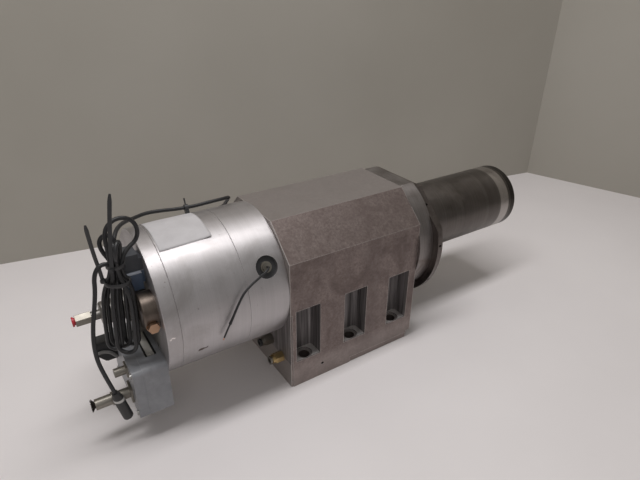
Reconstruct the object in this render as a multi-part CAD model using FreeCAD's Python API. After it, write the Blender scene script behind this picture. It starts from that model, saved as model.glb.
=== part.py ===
import FreeCAD, Part
import math
import os

# Motor spindle: a housing block on a flat base carries a long nose towards +X and a built-in motor
# towards -X. Millimetres, +Z up, origin at the centre of the block's base face.

os.makedirs("parts", exist_ok=True)
Vector = FreeCAD.Vector
X_DIR = Vector(1, 0, 0)
Y_DIR = Vector(0, 1, 0)
Z_DIR = Vector(0, 0, 1)

# Spindle axis
axis_height = 168.0

# Housing block
block_length = 240.0
block_width = 206.0
block_side_above_axis = 51.0
block_top_above_axis = 98.0
block_top_width = 106.0
block_passage_radius = 52.0
cartridge_depth = 65.0
side_hole_radius = 2.5
side_hole_depth = 12.0
side_hole_place = (-64.0, 23.5)
front_notch = (8.0, 14.0)
side_relief_depth = 1.2
side_relief_height = 10.0
side_relief_start = -10.0
rear_relief_length = 3.0
rear_relief_height = 135.0

# Bolt pockets in both sides of the block
pocket_count = 3
pocket_pitch = 87.0
pocket_middle = -2.5
pocket_length = 42.4
pocket_floor = 46.5
pocket_top = 139.0
pocket_depth = 28.0
pocket_corner = 6.0
base_bolt_radius = 8.75
base_bolt_inset = 14.0
spotface_radius = 13.0
spotface_depth = 2.5

# Front flange ring and the cartridge's flange disc
flange_ring_radius = 108.5
flange_ring_length = 28.5
disc_radius = 120.5
disc_length = 12.5
disc_lip_step = 2.5
disc_lip_length = 4.0
disc_flat_height = 92.0
disc_chamfer_distance = 105.0
rim_hole_count = 10
rim_hole_radius = 2.4
rim_hole_first_angle = 5.0
rim_hole_depth = 22.0
flange_screw_circle = 88.0
flange_screw_count = 8
flange_screw_head_radius = 6.5
flange_screw_head_length = 6.0
flange_screw_shank_radius = 4.0
flange_screw_length = 26.0
flange_screw_first_angle = 22.5

# Nose: cartridge tube, bright bearing cover, black end cap
nose_radius = 61.0
cartridge_radius = 70.0
nose_bore_radius = 46.0
nose_tube_end = 372.0
bearing_cover_length = 32.0
cover_spigot_length = 3.0
cover_band_groove = 1.0
cover_seal_groove = (12.0, 22.0)
cover_spigot_wall = 5.0
nose_cap_length = 14.0
nose_cap_round = 3.0
cap_screw_count = 6
cap_screw_circle = 51.0
cap_screw_head_radius = 4.25
cap_screw_head_length = 4.0
cap_screw_shank_radius = 2.5
cap_screw_length = 20.0
seal_gap = 0.5

# Front bearing pair and rear bearing: half bores, outsides and widths
front_bore = 35.0
front_outside = 50.0
front_width = 16.0
front_row_count = 2
rear_bore = 30.0
rear_outside = 47.5
rear_width = 18.0
rear_bearing_inset = 33.7
balls_per_row = 12
ring_land_share = 0.17
ball_diameter_share = 0.205
ball_groove_play = 0.12
cage_half_thickness = 1.0
cage_half_width_share = 0.36
cage_ball_play = 0.12

# Motor housing
motor_radius = 103.0
motor_wall = 8.0
motor_front_length = 60.3
motor_tube_length = 95.3
motor_rear_length = 19.1
motor_end_wall = 14.0
motor_spigot_radius = 75.0
motor_spigot_length = 5.0
seam_chamfer = 0.7
rear_opening_radius = 70.0
rear_step_radius = 62.0
rear_step_length = 8.0

# Cooling sleeve, stator and rotor
sleeve_wall = 11.0
sleeve_rear_gap = 3.6
sleeve_front_gap = 30.0
groove_count = 7
groove_pitch = 16.0
groove_width = 9.0
groove_depth = 5.0
stator_rear_inset = 12.0
stator_front_inset = 10.0
stator_bore = 52.0
winding_length = 11.0
winding_inner = 56.0
winding_outer = 80.0
winding_round = 4.0
air_gap = 0.6
rotor_seat_radius = 36.0
rotor_end_inset = 4.0
rotor_end_ring_length = 7.0
rotor_end_ring_step = 4.0

# Rear bearing housing
bearing_housing_flange = 11.5
bearing_hub_radius = 54.5
bearing_rear_shoulder = 42.0
rear_screw_count = 6
rear_screw_circle = 64.5
rear_screw_head_radius = 4.25
rear_screw_head_length = 4.5
rear_screw_first_angle = 15.0

# Shaft
shaft_rear_inset = 6.7
shaft_body_radius = 34.0
shaft_rear_shoulder = 34.0
rotor_shoulder_radius = 38.0
rotor_shoulder_length = 6.0
shaft_nose_radius = 40.0
front_seat_length = 37.0
locknut_width = 8.0
locknut_slots = 4
locknut_slot_width = 8.0
locknut_slot_depth = 2.5
front_locknut_radius = 44.0
rear_locknut_radius = 40.0
spring_chamber_radius = 20.0
spring_chamber_end = 140.0
gripper_chamber_depth = 73.0
gripper_chamber_radius = 19.0
taper_depth = 32.0
taper_mouth_radius = 24.0
taper_ratio = 0.1
key_slot_width = 12.5
key_slot_depth = 8.0

# Drawbar, gripper and disc springs
drawbar_radius = 12.0
running_gap = 0.05
drawbar_rear_inset = 1.0
bush_length = 20.0
collar_start = -52.0
collar_length = 12.0
drawbar_neck_radius = 8.0
drawbar_head_radius = 14.5
drawbar_head_depth = 34.0
drawbar_head_length = 8.0
finger_count = 6
finger_depth = 64.0
finger_inner = 8.6
finger_body = 14.5
finger_lip = 17.5
finger_lip_length = 7.0
finger_slot = 2.0
spring_pair_count = 12
spring_wall = 2.0
spring_side_gap = 0.5

# Release cylinder, piston and rotary union behind the motor
cylinder_radius = 40.0
cylinder_wall = 6.0
cylinder_length = 18.3
cylinder_front_wall = 3.7
cylinder_cap_length = 4.0
cylinder_spigot_length = 5.7
piston_thickness = 5.0
piston_start_gap = 0.4
piston_rod_radius = 9.0
piston_tip_gap = 1.5
union_radius = 16.0
union_length = 38.0
union_neck_radius = 6.5
union_neck_length = 12.0
air_hex_length = 19.0

# Push-in fittings: hexagon across flats, tube size and release collet
hex_across_flats = 15.0
tube_port_radius = 4.0
collet_sleeve_radius = 5.0
collet_flange_radius = 6.6
collet_flange_length = 2.3
collet_sleeve_length = 10.0
collet_travel = 1.5
collet_rest_gap = 1.8
fitting_bore_depth = 13.0
side_fitting_hex_length = 14.0
side_fitting_neck_length = 4.0
side_fitting_neck_radius = 7.0
brass_fitting_side = -73.0
brass_fitting_drop = 125.0
nickel_fitting_side = -40.0
nickel_fitting_drop = 113.0

# Valve cylinder with its hexagon plug, and the sensor block
valve_side = -59.5
valve_rise = 25.0
valve_radius = 24.0
valve_length = 19.0
valve_edge_round = 3.0
plug_inset = 9.3
plug_rise = 12.0
plug_across_flats = 13.0
plug_head_length = 8.0
plug_flange_radius = 8.0
plug_flange_length = 1.5
sensor_width = 34.0
sensor_side = -46.0
sensor_rise = 47.0
sensor_height = 47.0
sensor_depth = 19.0
sensor_standoff = 4.0
sensor_step = 6.0

# Terminal box behind the motor
box_side = -83.0
box_width = 120.0
box_drop = 128.0
box_height = 79.0
box_depth = 31.8
box_wall = 4.0
box_corner = 7.0
lid_thickness = 13.5
lid_hollow = 9.0
lid_seam_step = 0.6
lid_screw_inset = 8.0
lid_screw_radius = 3.4
lid_screw_height = 2.2
channel_start = 6.0
channel_width = 15.0
channel_depth = 2.5
channel_near_end = -58.0
channel_far_end = 10.0
strip_width = 9.0
strip_thickness = 1.6
strip_margin = 3.0
strip_screw_radius = 2.6
strip_screw_height = 1.6
terminal_width = 70.0
terminal_height = 26.0
terminal_depth = 14.0
terminal_count = 7
terminal_slot = 3.0

# Round connectors on the lid
connector_side = -50.0
large_connector_rise = 26.0
small_connector_rise = 65.0
large_flange_size = 22.0
large_flange_thickness = 3.0
large_barrel_radius = 7.5
large_barrel_length = 17.0
plug_nut_length = 9.0
plug_nut_radius = 9.2
plug_neck_radius = 6.5
plug_shell_length = 20.5
plug_stub_radius = 4.2
plug_stub_length = 5.0
connector_joint_gap = 0.3
small_flange_size = 16.0
small_flange_thickness = 2.5
small_barrel_radius = 6.0
small_barrel_length = 14.0
small_socket_radius = 4.4
small_socket_depth = 9.0

# Lead gland on the near side of the motor's front ring
gland_inset = 26.8
gland_angle = 30.0
gland_hole_radius = 16.0
gland_floor = 95.6
gland_face = 98.0
nipple_radius = 6.0
nipple_flange_radius = 8.0
nipple_flange_top = 101.0
nipple_mouth = 104.0
lead_radius = 1.2
lead_hole_radius = 1.5

# Cable gland on the far side, its clip, hank, loop and hanging plug
far_gland_inset = 27.0
far_gland_hex_radius = 10.0
far_gland_hex_length = 9.0
far_gland_nut_radius = 8.5
far_gland_nut_length = 10.0
far_gland_seat = 102.0
cable_radius = 2.6
cable_hole_play = 0.2
clip_ring_radius = 4.8
clip_hole_radius = 3.4
clip_width = 5.0
clip_foot_width = 7.0
clip_tail_length = 9.0
clip_tail_width = 3.0
hank_turn = -33.5
hank_sections = (
    (134.0, -337.5, -53.0, 8.0, 5.0), (142.0, -337.5, -53.0, 15.0, 9.0), (158.0, -336.5, -53.5, 20.0, 11.5),
    (192.0, -334.0, -54.5, 22.0, 12.5), (220.0, -332.0, -55.5, 19.5, 12.0), (234.0, -330.5, -56.0, 16.0, 11.0),
    (246.0, -329.5, -56.5, 11.0, 9.5), (268.0, -328.5, -57.0, 9.0, 8.5),
)
tie_width = 4.8
tie_thickness = 1.4
tie_play = 0.75
tie_head_size = 5.5
zip_tie_places = (
    (239.0, 178.0, Vector(-350.5, -50.5, 319.0)),
    (262.2, -88.0, Vector(-321.5, -68.5, 357.0)),
)
cable_plug_radius = 6.7
cable_plug_boot_radius = 4.6
cable_plug_boot_length = 9.0
cable_plug_length = 47.0
cable_plug_round = 2.0

# Routes of the free cords, point by point, as they lie behind this block and round this motor
route_block_rear = -120.0
route_motor_end = -294.7
route_axis_height = 168.0
cable_run_route = [
    (-147, 122, 168), (-147, 138, 168), (-144.5, 152, 180), (-140, 152, 198), (-134, 136, 213),
    (-129.5, 112, 226), (-129, 88, 239.8), (-130, 66.8, 259.4), (-135, 50, 269.2), (-149, 41.5, 272.5),
    (-171, 39.5, 273), (-194, 39.5, 272), (-218, 40, 273), (-243, 41, 276), (-264, 39, 278), (-282, 29, 279),
    (-296, 12, 285), (-309, -9, 290), (-318, -27, 289.5), (-324, -41, 283), (-327.5, -50, 272),
    (-328.5, -53, 262),
]
cable_clip_leg = cable_run_route[11:13]
cable_loop_route = [
    (-332, -58.5, 265), (-333, -56.5, 274), (-333.6, -54.5, 284), (-333.8, -53, 295.5),
    (-331.5, -51.5, 309.5), (-321.2, -50.5, 318.5), (-307.8, -49.5, 318.5), (-297.5, -49, 309.5),
    (-295.2, -49, 295.5), (-300.2, -50, 285.3), (-309, -51.5, 280.6), (-317.5, -54.5, 276), (-324, -58, 265),
]
cable_tail_route = [
    (-333, -61, 258.3), (-345, -62.5, 255.8), (-353.5, -63.2, 246.5), (-358.5, -64, 233), (-363, -65, 217),
    (-368.5, -66, 197),
    (-373, -68, 170.5), (-373, -70, 145), (-367.5, -71, 115), (-362.5, -71, 91),
]
lead_route = [
    (-146.8, -90.1, 220.0), (-146.8, -95.7, 223.3), (-150.6, -101.5, 224.3), (-157.4, -105.1, 222.2),
    (-167.2, -103.6, 215.3), (-178, -103.5, 209), (-189, -105, 202), (-198, -107, 191),
    (-206, -108.5, 178), (-213, -108.5, 165), (-218.5, -107.5, 154), (-222.4, -106, 144),
]

# Places worked out from the sizes above
block_front = block_length / 2
block_rear = -block_length / 2
block_half = block_width / 2
ring_front = block_front + flange_ring_length
disc_front = ring_front + disc_length
cartridge_start = block_front - cartridge_depth
cover_front = nose_tube_end + bearing_cover_length
nose_end = cover_front + nose_cap_length
front_bearing_end = nose_tube_end - cover_spigot_length
front_bearing_start = front_bearing_end - front_row_count * front_width
motor_bore = motor_radius - motor_wall
motor_front_end = block_rear - motor_front_length
motor_tube_end = motor_front_end - motor_tube_length
motor_rear_end = motor_tube_end - motor_rear_length
rear_bearing_end = motor_rear_end + rear_bearing_inset
rear_bearing_start = rear_bearing_end - rear_width
sleeve_start = motor_tube_end + sleeve_rear_gap
sleeve_end = block_rear - sleeve_front_gap
stator_start = sleeve_start + stator_rear_inset
stator_end = sleeve_end - stator_front_inset
rotor_start = stator_start + rotor_end_inset
rotor_end = stator_end - rotor_end_inset
rotor_radius = stator_bore - air_gap
shaft_rear_end = motor_rear_end + shaft_rear_inset
drawbar_rear_end = shaft_rear_end + drawbar_rear_inset
front_seat_start = front_bearing_start - front_seat_length
gripper_chamber_start = nose_end - gripper_chamber_depth
drawbar_head_start = nose_end - drawbar_head_depth
finger_start = nose_end - finger_depth
gland_x = block_rear - gland_inset
far_gland_x = block_rear - far_gland_inset
route_front_shift = block_rear - route_block_rear
route_rear_shift = motor_rear_end - route_motor_end
route_rise = axis_height - route_axis_height
route_shift = Vector(route_rear_shift, 0, route_rise)
block_side_height = axis_height + block_side_above_axis
block_height = axis_height + block_top_above_axis
brass_fitting_place = (brass_fitting_side, axis_height - brass_fitting_drop)
nickel_fitting_place = (nickel_fitting_side, axis_height - nickel_fitting_drop)
valve_place = (valve_side, axis_height + valve_rise)
plug_height = axis_height + plug_rise
sensor_low = axis_height + sensor_rise
box_low = axis_height - box_drop
large_connector_height = box_low + large_connector_rise
small_connector_height = box_low + small_connector_rise
cylinder_rear = motor_rear_end - cylinder_length
cylinder_front = motor_rear_end + cylinder_spigot_length
union_rear = cylinder_rear - union_length
air_hex_start = union_rear - union_neck_length
air_hex_rear = air_hex_start - air_hex_length
box_rear = motor_rear_end - box_depth
lid_rear = box_rear - lid_thickness
large_barrel_rear = lid_rear - large_barrel_length
plug_nut_rear = large_barrel_rear - connector_joint_gap - plug_nut_length
plug_shell_rear = plug_nut_rear - connector_joint_gap - plug_shell_length


def pocket_centres():
    first = pocket_middle - pocket_pitch * (pocket_count - 1) / 2
    return [first + pocket_pitch * index for index in range(pocket_count)]


def on_axis(x, radius, angle):
    """Point at a radius from the spindle axis, its angle counted from the near side (-Y) upwards."""
    turn = math.radians(angle)
    return Vector(x, -radius * math.cos(turn), axis_height + radius * math.sin(turn))


def rod(start, end, radius, y=0.0, z=axis_height):
    return Part.makeCylinder(radius, end - start, Vector(start, y, z), X_DIR)


def tube(start, end, inner, outer, y=0.0, z=axis_height):
    return rod(start, end, outer, y, z).cut(rod(start, end, inner, y, z))


def turned(profile):
    """Solid of revolution about the spindle axis from a closed outline of (x, radius) points."""
    points = [Vector(x, 0, axis_height + radius) for x, radius in profile]
    face = Part.Face(Part.makePolygon(points + [points[0]]))
    return face.revolve(Vector(0, 0, axis_height), X_DIR, 360)


def hexagon_bar(start, end, across_flats, y, z):
    corner = across_flats / math.sqrt(3)
    points = []
    for side in range(7):
        turn = math.radians(60 * side + 30)
        points.append(Vector(start, y + corner * math.cos(turn), z + corner * math.sin(turn)))
    return Part.Face(Part.makePolygon(points)).extrude(Vector(end - start, 0, 0))


def between(first, second, radius):
    return Part.makeCylinder(radius, (second - first).Length, first, second - first)


def flat_bar(first, second, width, thickness, side=X_DIR):
    """Straight bar from one point to another, its width along the given side."""
    along = (second - first).normalize()
    across = side - along * side.dot(along)
    across.normalize()
    normal = along.cross(across)
    corner = first - across * (width / 2) - normal * (thickness / 2)
    points = [corner, corner + across * width, corner + across * width + normal * thickness,
              corner + normal * thickness, corner]
    return Part.Face(Part.makePolygon(points)).extrude(second - first)


def carried(route):
    """Route moved along with the block's rear face at its front and the motor's end at its rear."""
    places = []
    for x, y, z in route:
        share = (route_block_rear - x) / (route_block_rear - route_motor_end)
        share = min(max(share, 0), 1)
        places.append((x + route_front_shift + share * (route_rear_shift - route_front_shift), y,
                       z + route_rise))
    return places


def tangent_arc_path(route):
    """Straight runs joined by arcs, each as large as its two runs allow."""
    points = [Vector(*place) for place in route]
    edges = []
    radii = []
    start = points[0]
    for before, corner, after in zip(points, points[1:], points[2:]):
        back = (before - corner).normalize()
        ahead = (after - corner).normalize()
        half_turn = (math.pi - back.getAngle(ahead)) / 2
        reach = 0.45 * min((before - corner).Length, (after - corner).Length)
        radii.append(reach / math.tan(half_turn))
        enter = corner + back * reach
        leave = corner + ahead * reach
        bisector = (back + ahead).normalize()
        to_centre = radii[-1] / math.cos(half_turn)
        middle = corner + bisector * (to_centre - radii[-1])
        edges.append(Part.LineSegment(start, enter).toShape())
        edges.append(Part.Arc(enter, middle, leave).toShape())
        start = leave
    edges.append(Part.LineSegment(start, points[-1]).toShape())
    return Part.Wire(edges), radii


def cord_tube(name, route, radius):
    places = carried(route)
    path, radii = tangent_arc_path(places)
    first = Vector(*places[0])
    section = Part.Wire(Part.makeCircle(radius, first, Vector(*places[1]) - first))
    solid = path.makePipeShell([section], True, False)
    share = solid.Volume / (math.pi * radius ** 2 * path.Length)
    print(name, "length", round(path.Length, 1), "volume share", round(share, 4),
          "radii", [round(value, 1) for value in radii])
    return solid


def make_housing_block():
    half_top = block_top_width / 2
    outline = [(-block_half, 0), (block_half, 0), (block_half, block_side_height),
               (half_top, block_height), (-half_top, block_height), (-block_half, block_side_height)]
    points = [Vector(block_rear, y, z) for y, z in outline]
    block = Part.Face(Part.makePolygon(points + [points[0]])).extrude(X_DIR * block_length)
    block = block.cut(rod(block_rear, block_front, block_passage_radius))
    block = block.cut(rod(cartridge_start, block_front, cartridge_radius))
    block = block.cut(rod(block_rear, block_rear + motor_spigot_length, motor_spigot_radius))
    for side in (-1, 1):
        for centre in pocket_centres():
            block = block.cut(bolt_pocket(centre, side))
        block = block.cut(side_reliefs(side))
    hole_x, hole_z = side_hole_place
    block = block.cut(Part.makeCylinder(side_hole_radius, side_hole_depth,
                                        Vector(hole_x, -block_half, hole_z), Y_DIR))
    notch_length, notch_height = front_notch
    notch = Part.makeBox(notch_length, block_width, notch_height,
                         Vector(block_front - notch_length, -block_half, 0))
    return block.cut(notch)


def bolt_pocket(centre, side):
    """Open pocket in one side with its spotface and base bolt hole."""
    deep = block_half - pocket_depth
    low_y = deep if side > 0 else -block_half - pocket_depth
    cutter = Part.makeBox(pocket_length, 2 * pocket_depth, pocket_top - pocket_floor,
                          Vector(centre - pocket_length / 2, low_y, pocket_floor))
    corners = [edge for edge in cutter.Edges
               if abs(edge.tangentAt(edge.FirstParameter).z) > 0.9
               and abs(abs(edge.CenterOfMass.y) - deep) < 0.1]
    cutter = cutter.makeFillet(pocket_corner, corners)
    bolt_y = side * (block_half - base_bolt_inset)
    spot = Part.makeCylinder(spotface_radius, pocket_depth,
                             Vector(centre, bolt_y, pocket_floor - spotface_depth), Z_DIR)
    hole = Part.makeCylinder(base_bolt_radius, pocket_floor, Vector(centre, bolt_y, 0), Z_DIR)
    return cutter.fuse(spot).fuse(hole)


def side_reliefs(side):
    low_y = block_half - side_relief_depth if side > 0 else -block_half
    low = Part.makeBox(block_front - side_relief_start, side_relief_depth, side_relief_height,
                       Vector(side_relief_start, low_y, 0))
    rear = Part.makeBox(rear_relief_length, side_relief_depth, rear_relief_height,
                        Vector(block_rear, low_y, 0))
    return low.fuse(rear)


def make_front_flange_ring():
    ring = tube(block_front, ring_front, cartridge_radius, flange_ring_radius)
    milled = Part.makeBox(flange_ring_length, 2 * flange_ring_radius, flange_ring_radius,
                          Vector(block_front, -flange_ring_radius, block_height))
    return ring.cut(milled)


def flange_screw_places():
    step = 360.0 / flange_screw_count
    return [flange_screw_first_angle + step * index for index in range(flange_screw_count)]


def make_flange_disc():
    """Cartridge flange, its top and shoulders milled down to the block's outline."""
    lip_start = disc_front - disc_lip_length
    disc = turned([(ring_front, nose_radius), (ring_front, disc_radius), (lip_start, disc_radius),
                   (lip_start, disc_radius - disc_lip_step), (disc_front, disc_radius - disc_lip_step),
                   (disc_front, nose_radius)])
    milled = Part.makeBox(disc_length, 2 * disc_radius, disc_radius,
                          Vector(ring_front, -disc_radius, axis_height + disc_flat_height))
    disc = disc.cut(milled)
    shoulder = math.degrees(math.atan2((block_width - block_top_width) / 2,
                                       block_height - block_side_height))
    for side in (-1, 1):
        cutter = Part.makeBox(disc_length, 2 * disc_radius, disc_radius,
                              Vector(ring_front, -disc_radius, axis_height + disc_chamfer_distance))
        cutter.rotate(Vector(0, 0, axis_height), X_DIR, -side * (90 - shoulder))
        disc = disc.cut(cutter)
    middle_x = (ring_front + lip_start) / 2
    for index in range(rim_hole_count):
        angle = rim_hole_first_angle + 360.0 / rim_hole_count * index
        inner = on_axis(middle_x, disc_radius - rim_hole_depth, angle)
        outer = on_axis(middle_x, disc_radius + 1, angle)
        disc = disc.cut(between(inner, outer, rim_hole_radius))
    for angle in flange_screw_places():
        centre = on_axis(0, flange_screw_circle, angle)
        head_floor = disc_front - flange_screw_head_length
        disc = disc.cut(rod(head_floor, disc_front, flange_screw_head_radius + running_gap,
                            centre.y, centre.z))
        disc = disc.cut(rod(ring_front, head_floor, flange_screw_shank_radius, centre.y, centre.z))
    return disc


def socket_screw(tip, floor, face, shank_radius, head_radius, y, z):
    """Cap screw along the spindle axis with its hexagon socket, head towards +X or -X."""
    outward = 1 if face > floor else -1
    socket_size = shank_radius * 1.6
    socket_floor = face - outward * abs(face - floor) * 0.6
    screw = rod(min(tip, floor), max(tip, floor), shank_radius, y, z)
    screw = screw.fuse(rod(min(floor, face), max(floor, face), head_radius, y, z))
    return screw.cut(hexagon_bar(min(socket_floor, face), max(socket_floor, face), socket_size, y, z))


def make_flange_screws():
    """Screws through the disc into the flange ring; the ring's tapped holes are left as metal."""
    screws = []
    floor = disc_front - flange_screw_head_length
    for angle in flange_screw_places():
        centre = on_axis(0, flange_screw_circle, angle)
        screws.append(socket_screw(ring_front, floor, disc_front - 0.4, flange_screw_shank_radius,
                                   flange_screw_head_radius, centre.y, centre.z))
    return Part.makeCompound(screws)


def make_nose_tube():
    """Cartridge in one piece: seat in the block, collar behind the disc, and the long nose."""
    return turned([
        (cartridge_start, nose_bore_radius), (cartridge_start, cartridge_radius),
        (ring_front, cartridge_radius), (ring_front, nose_radius),
        (nose_tube_end, nose_radius), (nose_tube_end, front_outside),
        (front_bearing_start, front_outside), (front_bearing_start, nose_bore_radius)])


def make_bearing_cover():
    """Bright ring that clamps the front bearings, with a fine groove behind its front edge."""
    bore = shaft_nose_radius + seal_gap
    relief = bore + 3 * seal_gap
    spigot_bore = front_outside - cover_spigot_wall
    groove_start, groove_end = [nose_tube_end + place for place in cover_seal_groove]
    groove = cover_front - 2 * cover_band_groove
    return turned([
        (front_bearing_end, spigot_bore), (front_bearing_end, front_outside - running_gap),
        (nose_tube_end, front_outside - running_gap), (nose_tube_end, nose_radius),
        (groove - cover_band_groove, nose_radius), (groove - cover_band_groove, nose_radius - cover_band_groove),
        (groove, nose_radius - cover_band_groove), (groove, nose_radius),
        (cover_front, nose_radius), (cover_front, bore),
        (groove_end, bore), (groove_end, relief), (groove_start, relief),
        (groove_start, bore), (nose_tube_end, bore), (nose_tube_end, spigot_bore)])


def cap_screw_places():
    return [360.0 / cap_screw_count * index + 90 for index in range(cap_screw_count)]


def make_nose_cap():
    cap = tube(cover_front, nose_end, shaft_nose_radius + seal_gap, nose_radius)
    rim = [edge for edge in cap.Edges
           if abs(edge.CenterOfMass.x - nose_end) < 0.01 and edge.BoundBox.YLength > 2 * nose_radius - 1]
    cap = cap.makeFillet(nose_cap_round, rim)
    for angle in cap_screw_places():
        centre = on_axis(0, cap_screw_circle, angle)
        floor = nose_end - cap_screw_head_length
        cap = cap.cut(rod(floor, nose_end, cap_screw_head_radius + running_gap, centre.y, centre.z))
        cap = cap.cut(rod(cover_front, floor, cap_screw_shank_radius, centre.y, centre.z))
    return cap


def make_nose_cap_screws():
    screws = []
    floor = nose_end - cap_screw_head_length
    for angle in cap_screw_places():
        centre = on_axis(0, cap_screw_circle, angle)
        screws.append(socket_screw(cover_front, floor, nose_end - 0.3, cap_screw_shank_radius,
                                   cap_screw_head_radius, centre.y, centre.z))
    return Part.makeCompound(screws)


def bearing_sizes(bore, outside):
    """Pitch radius, ball radius, inner ring's outside and outer ring's bore."""
    pitch = (bore + outside) / 2
    section = outside - bore
    ball = ball_diameter_share * pitch / 2
    return pitch, ball, bore + section * (0.5 - ring_land_share), outside - section * (0.5 - ring_land_share)


def bearing_rows():
    """Start, width, bore and outside of each bearing."""
    rows = [(front_bearing_start + front_width * index, front_width, front_bore, front_outside)
            for index in range(front_row_count)]
    rows.append((rear_bearing_start, rear_width, rear_bore, rear_outside))
    return rows


def ball_groove(start, width, bore, outside):
    pitch, ball, inner_land, outer_land = bearing_sizes(bore, outside)
    return Part.makeTorus(pitch, ball + ball_groove_play, Vector(start + width / 2, 0, axis_height), X_DIR)


def make_bearing_outer_rings():
    rings = []
    for row in bearing_rows():
        start, width, bore, outside = row
        land = bearing_sizes(bore, outside)[3]
        rings.append(tube(start, start + width, land, outside).cut(ball_groove(*row)))
    return Part.makeCompound(rings)


def make_bearing_inner_rings():
    rings = []
    for row in bearing_rows():
        start, width, bore, outside = row
        land = bearing_sizes(bore, outside)[2]
        rings.append(tube(start, start + width, bore, land).cut(ball_groove(*row)))
    return Part.makeCompound(rings)


def ball_places(start, width, pitch):
    return [on_axis(start + width / 2, pitch, 360.0 / balls_per_row * index)
            for index in range(balls_per_row)]


def make_bearing_balls():
    balls = []
    for start, width, bore, outside in bearing_rows():
        pitch, ball = bearing_sizes(bore, outside)[:2]
        balls += [Part.makeSphere(ball, place) for place in ball_places(start, width, pitch)]
    return Part.makeCompound(balls)


def make_bearing_cages():
    """Ring cages, each with a round window for every ball."""
    cages = []
    for start, width, bore, outside in bearing_rows():
        pitch, ball = bearing_sizes(bore, outside)[:2]
        middle = start + width / 2
        reach = cage_half_width_share * width
        cage = tube(middle - reach, middle + reach, pitch - cage_half_thickness, pitch + cage_half_thickness)
        for place in ball_places(start, width, pitch):
            centre = Vector(middle, 0, axis_height)
            radial = (place - centre).normalize()
            cage = cage.cut(Part.makeCylinder(ball + cage_ball_play, 4 * ball, place - radial * 2 * ball, radial))
        cages.append(cage)
    return Part.makeCompound(cages)


def chamfered_shell(start, end, inner, outer):
    """Outer ring with fine chamfers, which show as seams where two rings meet."""
    return [(start, inner), (start, outer - seam_chamfer), (start + seam_chamfer, outer),
            (end - seam_chamfer, outer), (end, outer - seam_chamfer), (end, inner)]


def gland_cut(radius, low, high):
    return between(on_axis(gland_x, low, gland_angle), on_axis(gland_x, high, gland_angle), radius)


def make_motor_front_ring():
    wall = block_rear - motor_end_wall
    ring = turned([
        (motor_front_end, motor_bore), (motor_front_end, motor_radius - seam_chamfer),
        (motor_front_end + seam_chamfer, motor_radius), (block_rear - seam_chamfer, motor_radius),
        (block_rear, motor_radius - seam_chamfer), (block_rear, motor_spigot_radius),
        (block_rear + motor_spigot_length, motor_spigot_radius),
        (block_rear + motor_spigot_length, block_passage_radius), (wall, block_passage_radius),
        (wall, motor_bore)])
    ring = ring.cut(gland_cut(gland_hole_radius, gland_floor, motor_radius + 5))
    thread = Part.makeCylinder(far_gland_nut_radius, motor_radius, Vector(far_gland_x, 0, axis_height), Y_DIR)
    far_face = Part.makeBox(4 * far_gland_hex_radius, motor_radius, 4 * far_gland_hex_radius,
                            Vector(far_gland_x - 2 * far_gland_hex_radius, far_gland_seat,
                                   axis_height - 2 * far_gland_hex_radius))
    return ring.cut(thread).cut(far_face)


def make_motor_tube():
    return turned(chamfered_shell(motor_tube_end, motor_front_end, motor_bore, motor_radius))


def make_motor_rear_ring():
    step = motor_tube_end - rear_step_length
    profile = chamfered_shell(motor_rear_end, motor_tube_end, rear_opening_radius, motor_radius)
    profile = profile[:-1] + [(motor_tube_end, rear_step_radius), (step, rear_step_radius),
                              (step, rear_opening_radius)]
    ring = turned(profile)
    return ring


def make_cooling_sleeve():
    """Jacket with ring grooves for coolant on its outside, shrunk between stator and shell."""
    sleeve = tube(sleeve_start, sleeve_end, motor_bore - sleeve_wall, motor_bore)
    middle = (sleeve_start + sleeve_end) / 2
    for index in range(groove_count):
        centre = middle + groove_pitch * (index - (groove_count - 1) / 2)
        sleeve = sleeve.cut(tube(centre - groove_width / 2, centre + groove_width / 2,
                                 motor_bore - groove_depth, motor_bore + 1))
    return sleeve


def make_stator_core():
    return tube(stator_start, stator_end, stator_bore, motor_bore - sleeve_wall)


def make_stator_windings():
    """Round-edged end turns at both ends of the stator."""
    rings = []
    for start in (stator_start - winding_length, stator_end):
        ring = tube(start, start + winding_length, winding_inner, winding_outer)
        away = start if start < stator_start else start + winding_length
        edges = [edge for edge in ring.Edges if abs(edge.CenterOfMass.x - away) < 0.01]
        rings.append(ring.makeFillet(winding_round, edges))
    return Part.makeCompound(rings)


def make_rear_bearing_housing():
    flange_front = motor_rear_end + bearing_housing_flange
    shoulder = rear_bearing_start - 1
    housing = turned([
        (motor_rear_end, bearing_rear_shoulder), (motor_rear_end, rear_opening_radius),
        (motor_tube_end - rear_step_length, rear_opening_radius),
        (motor_tube_end - rear_step_length, bearing_hub_radius), (rear_bearing_end, bearing_hub_radius),
        (rear_bearing_end, rear_outside), (shoulder, rear_outside), (shoulder, bearing_rear_shoulder)])
    for angle in rear_screw_places():
        centre = on_axis(0, rear_screw_circle, angle)
        floor = motor_rear_end + rear_screw_head_length
        housing = housing.cut(rod(motor_rear_end, floor, rear_screw_head_radius + running_gap,
                                  centre.y, centre.z))
        housing = housing.cut(rod(floor, flange_front, cap_screw_shank_radius, centre.y, centre.z))
    return housing


def rear_screw_places():
    return [rear_screw_first_angle + 360.0 / rear_screw_count * index for index in range(rear_screw_count)]


def make_rear_screws():
    screws = []
    floor = motor_rear_end + rear_screw_head_length
    tip = motor_tube_end - rear_step_length
    for angle in rear_screw_places():
        centre = on_axis(0, rear_screw_circle, angle)
        screws.append(socket_screw(tip, floor, motor_rear_end + 0.3, cap_screw_shank_radius,
                                   rear_screw_head_radius, centre.y, centre.z))
    return Part.makeCompound(screws)


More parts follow.
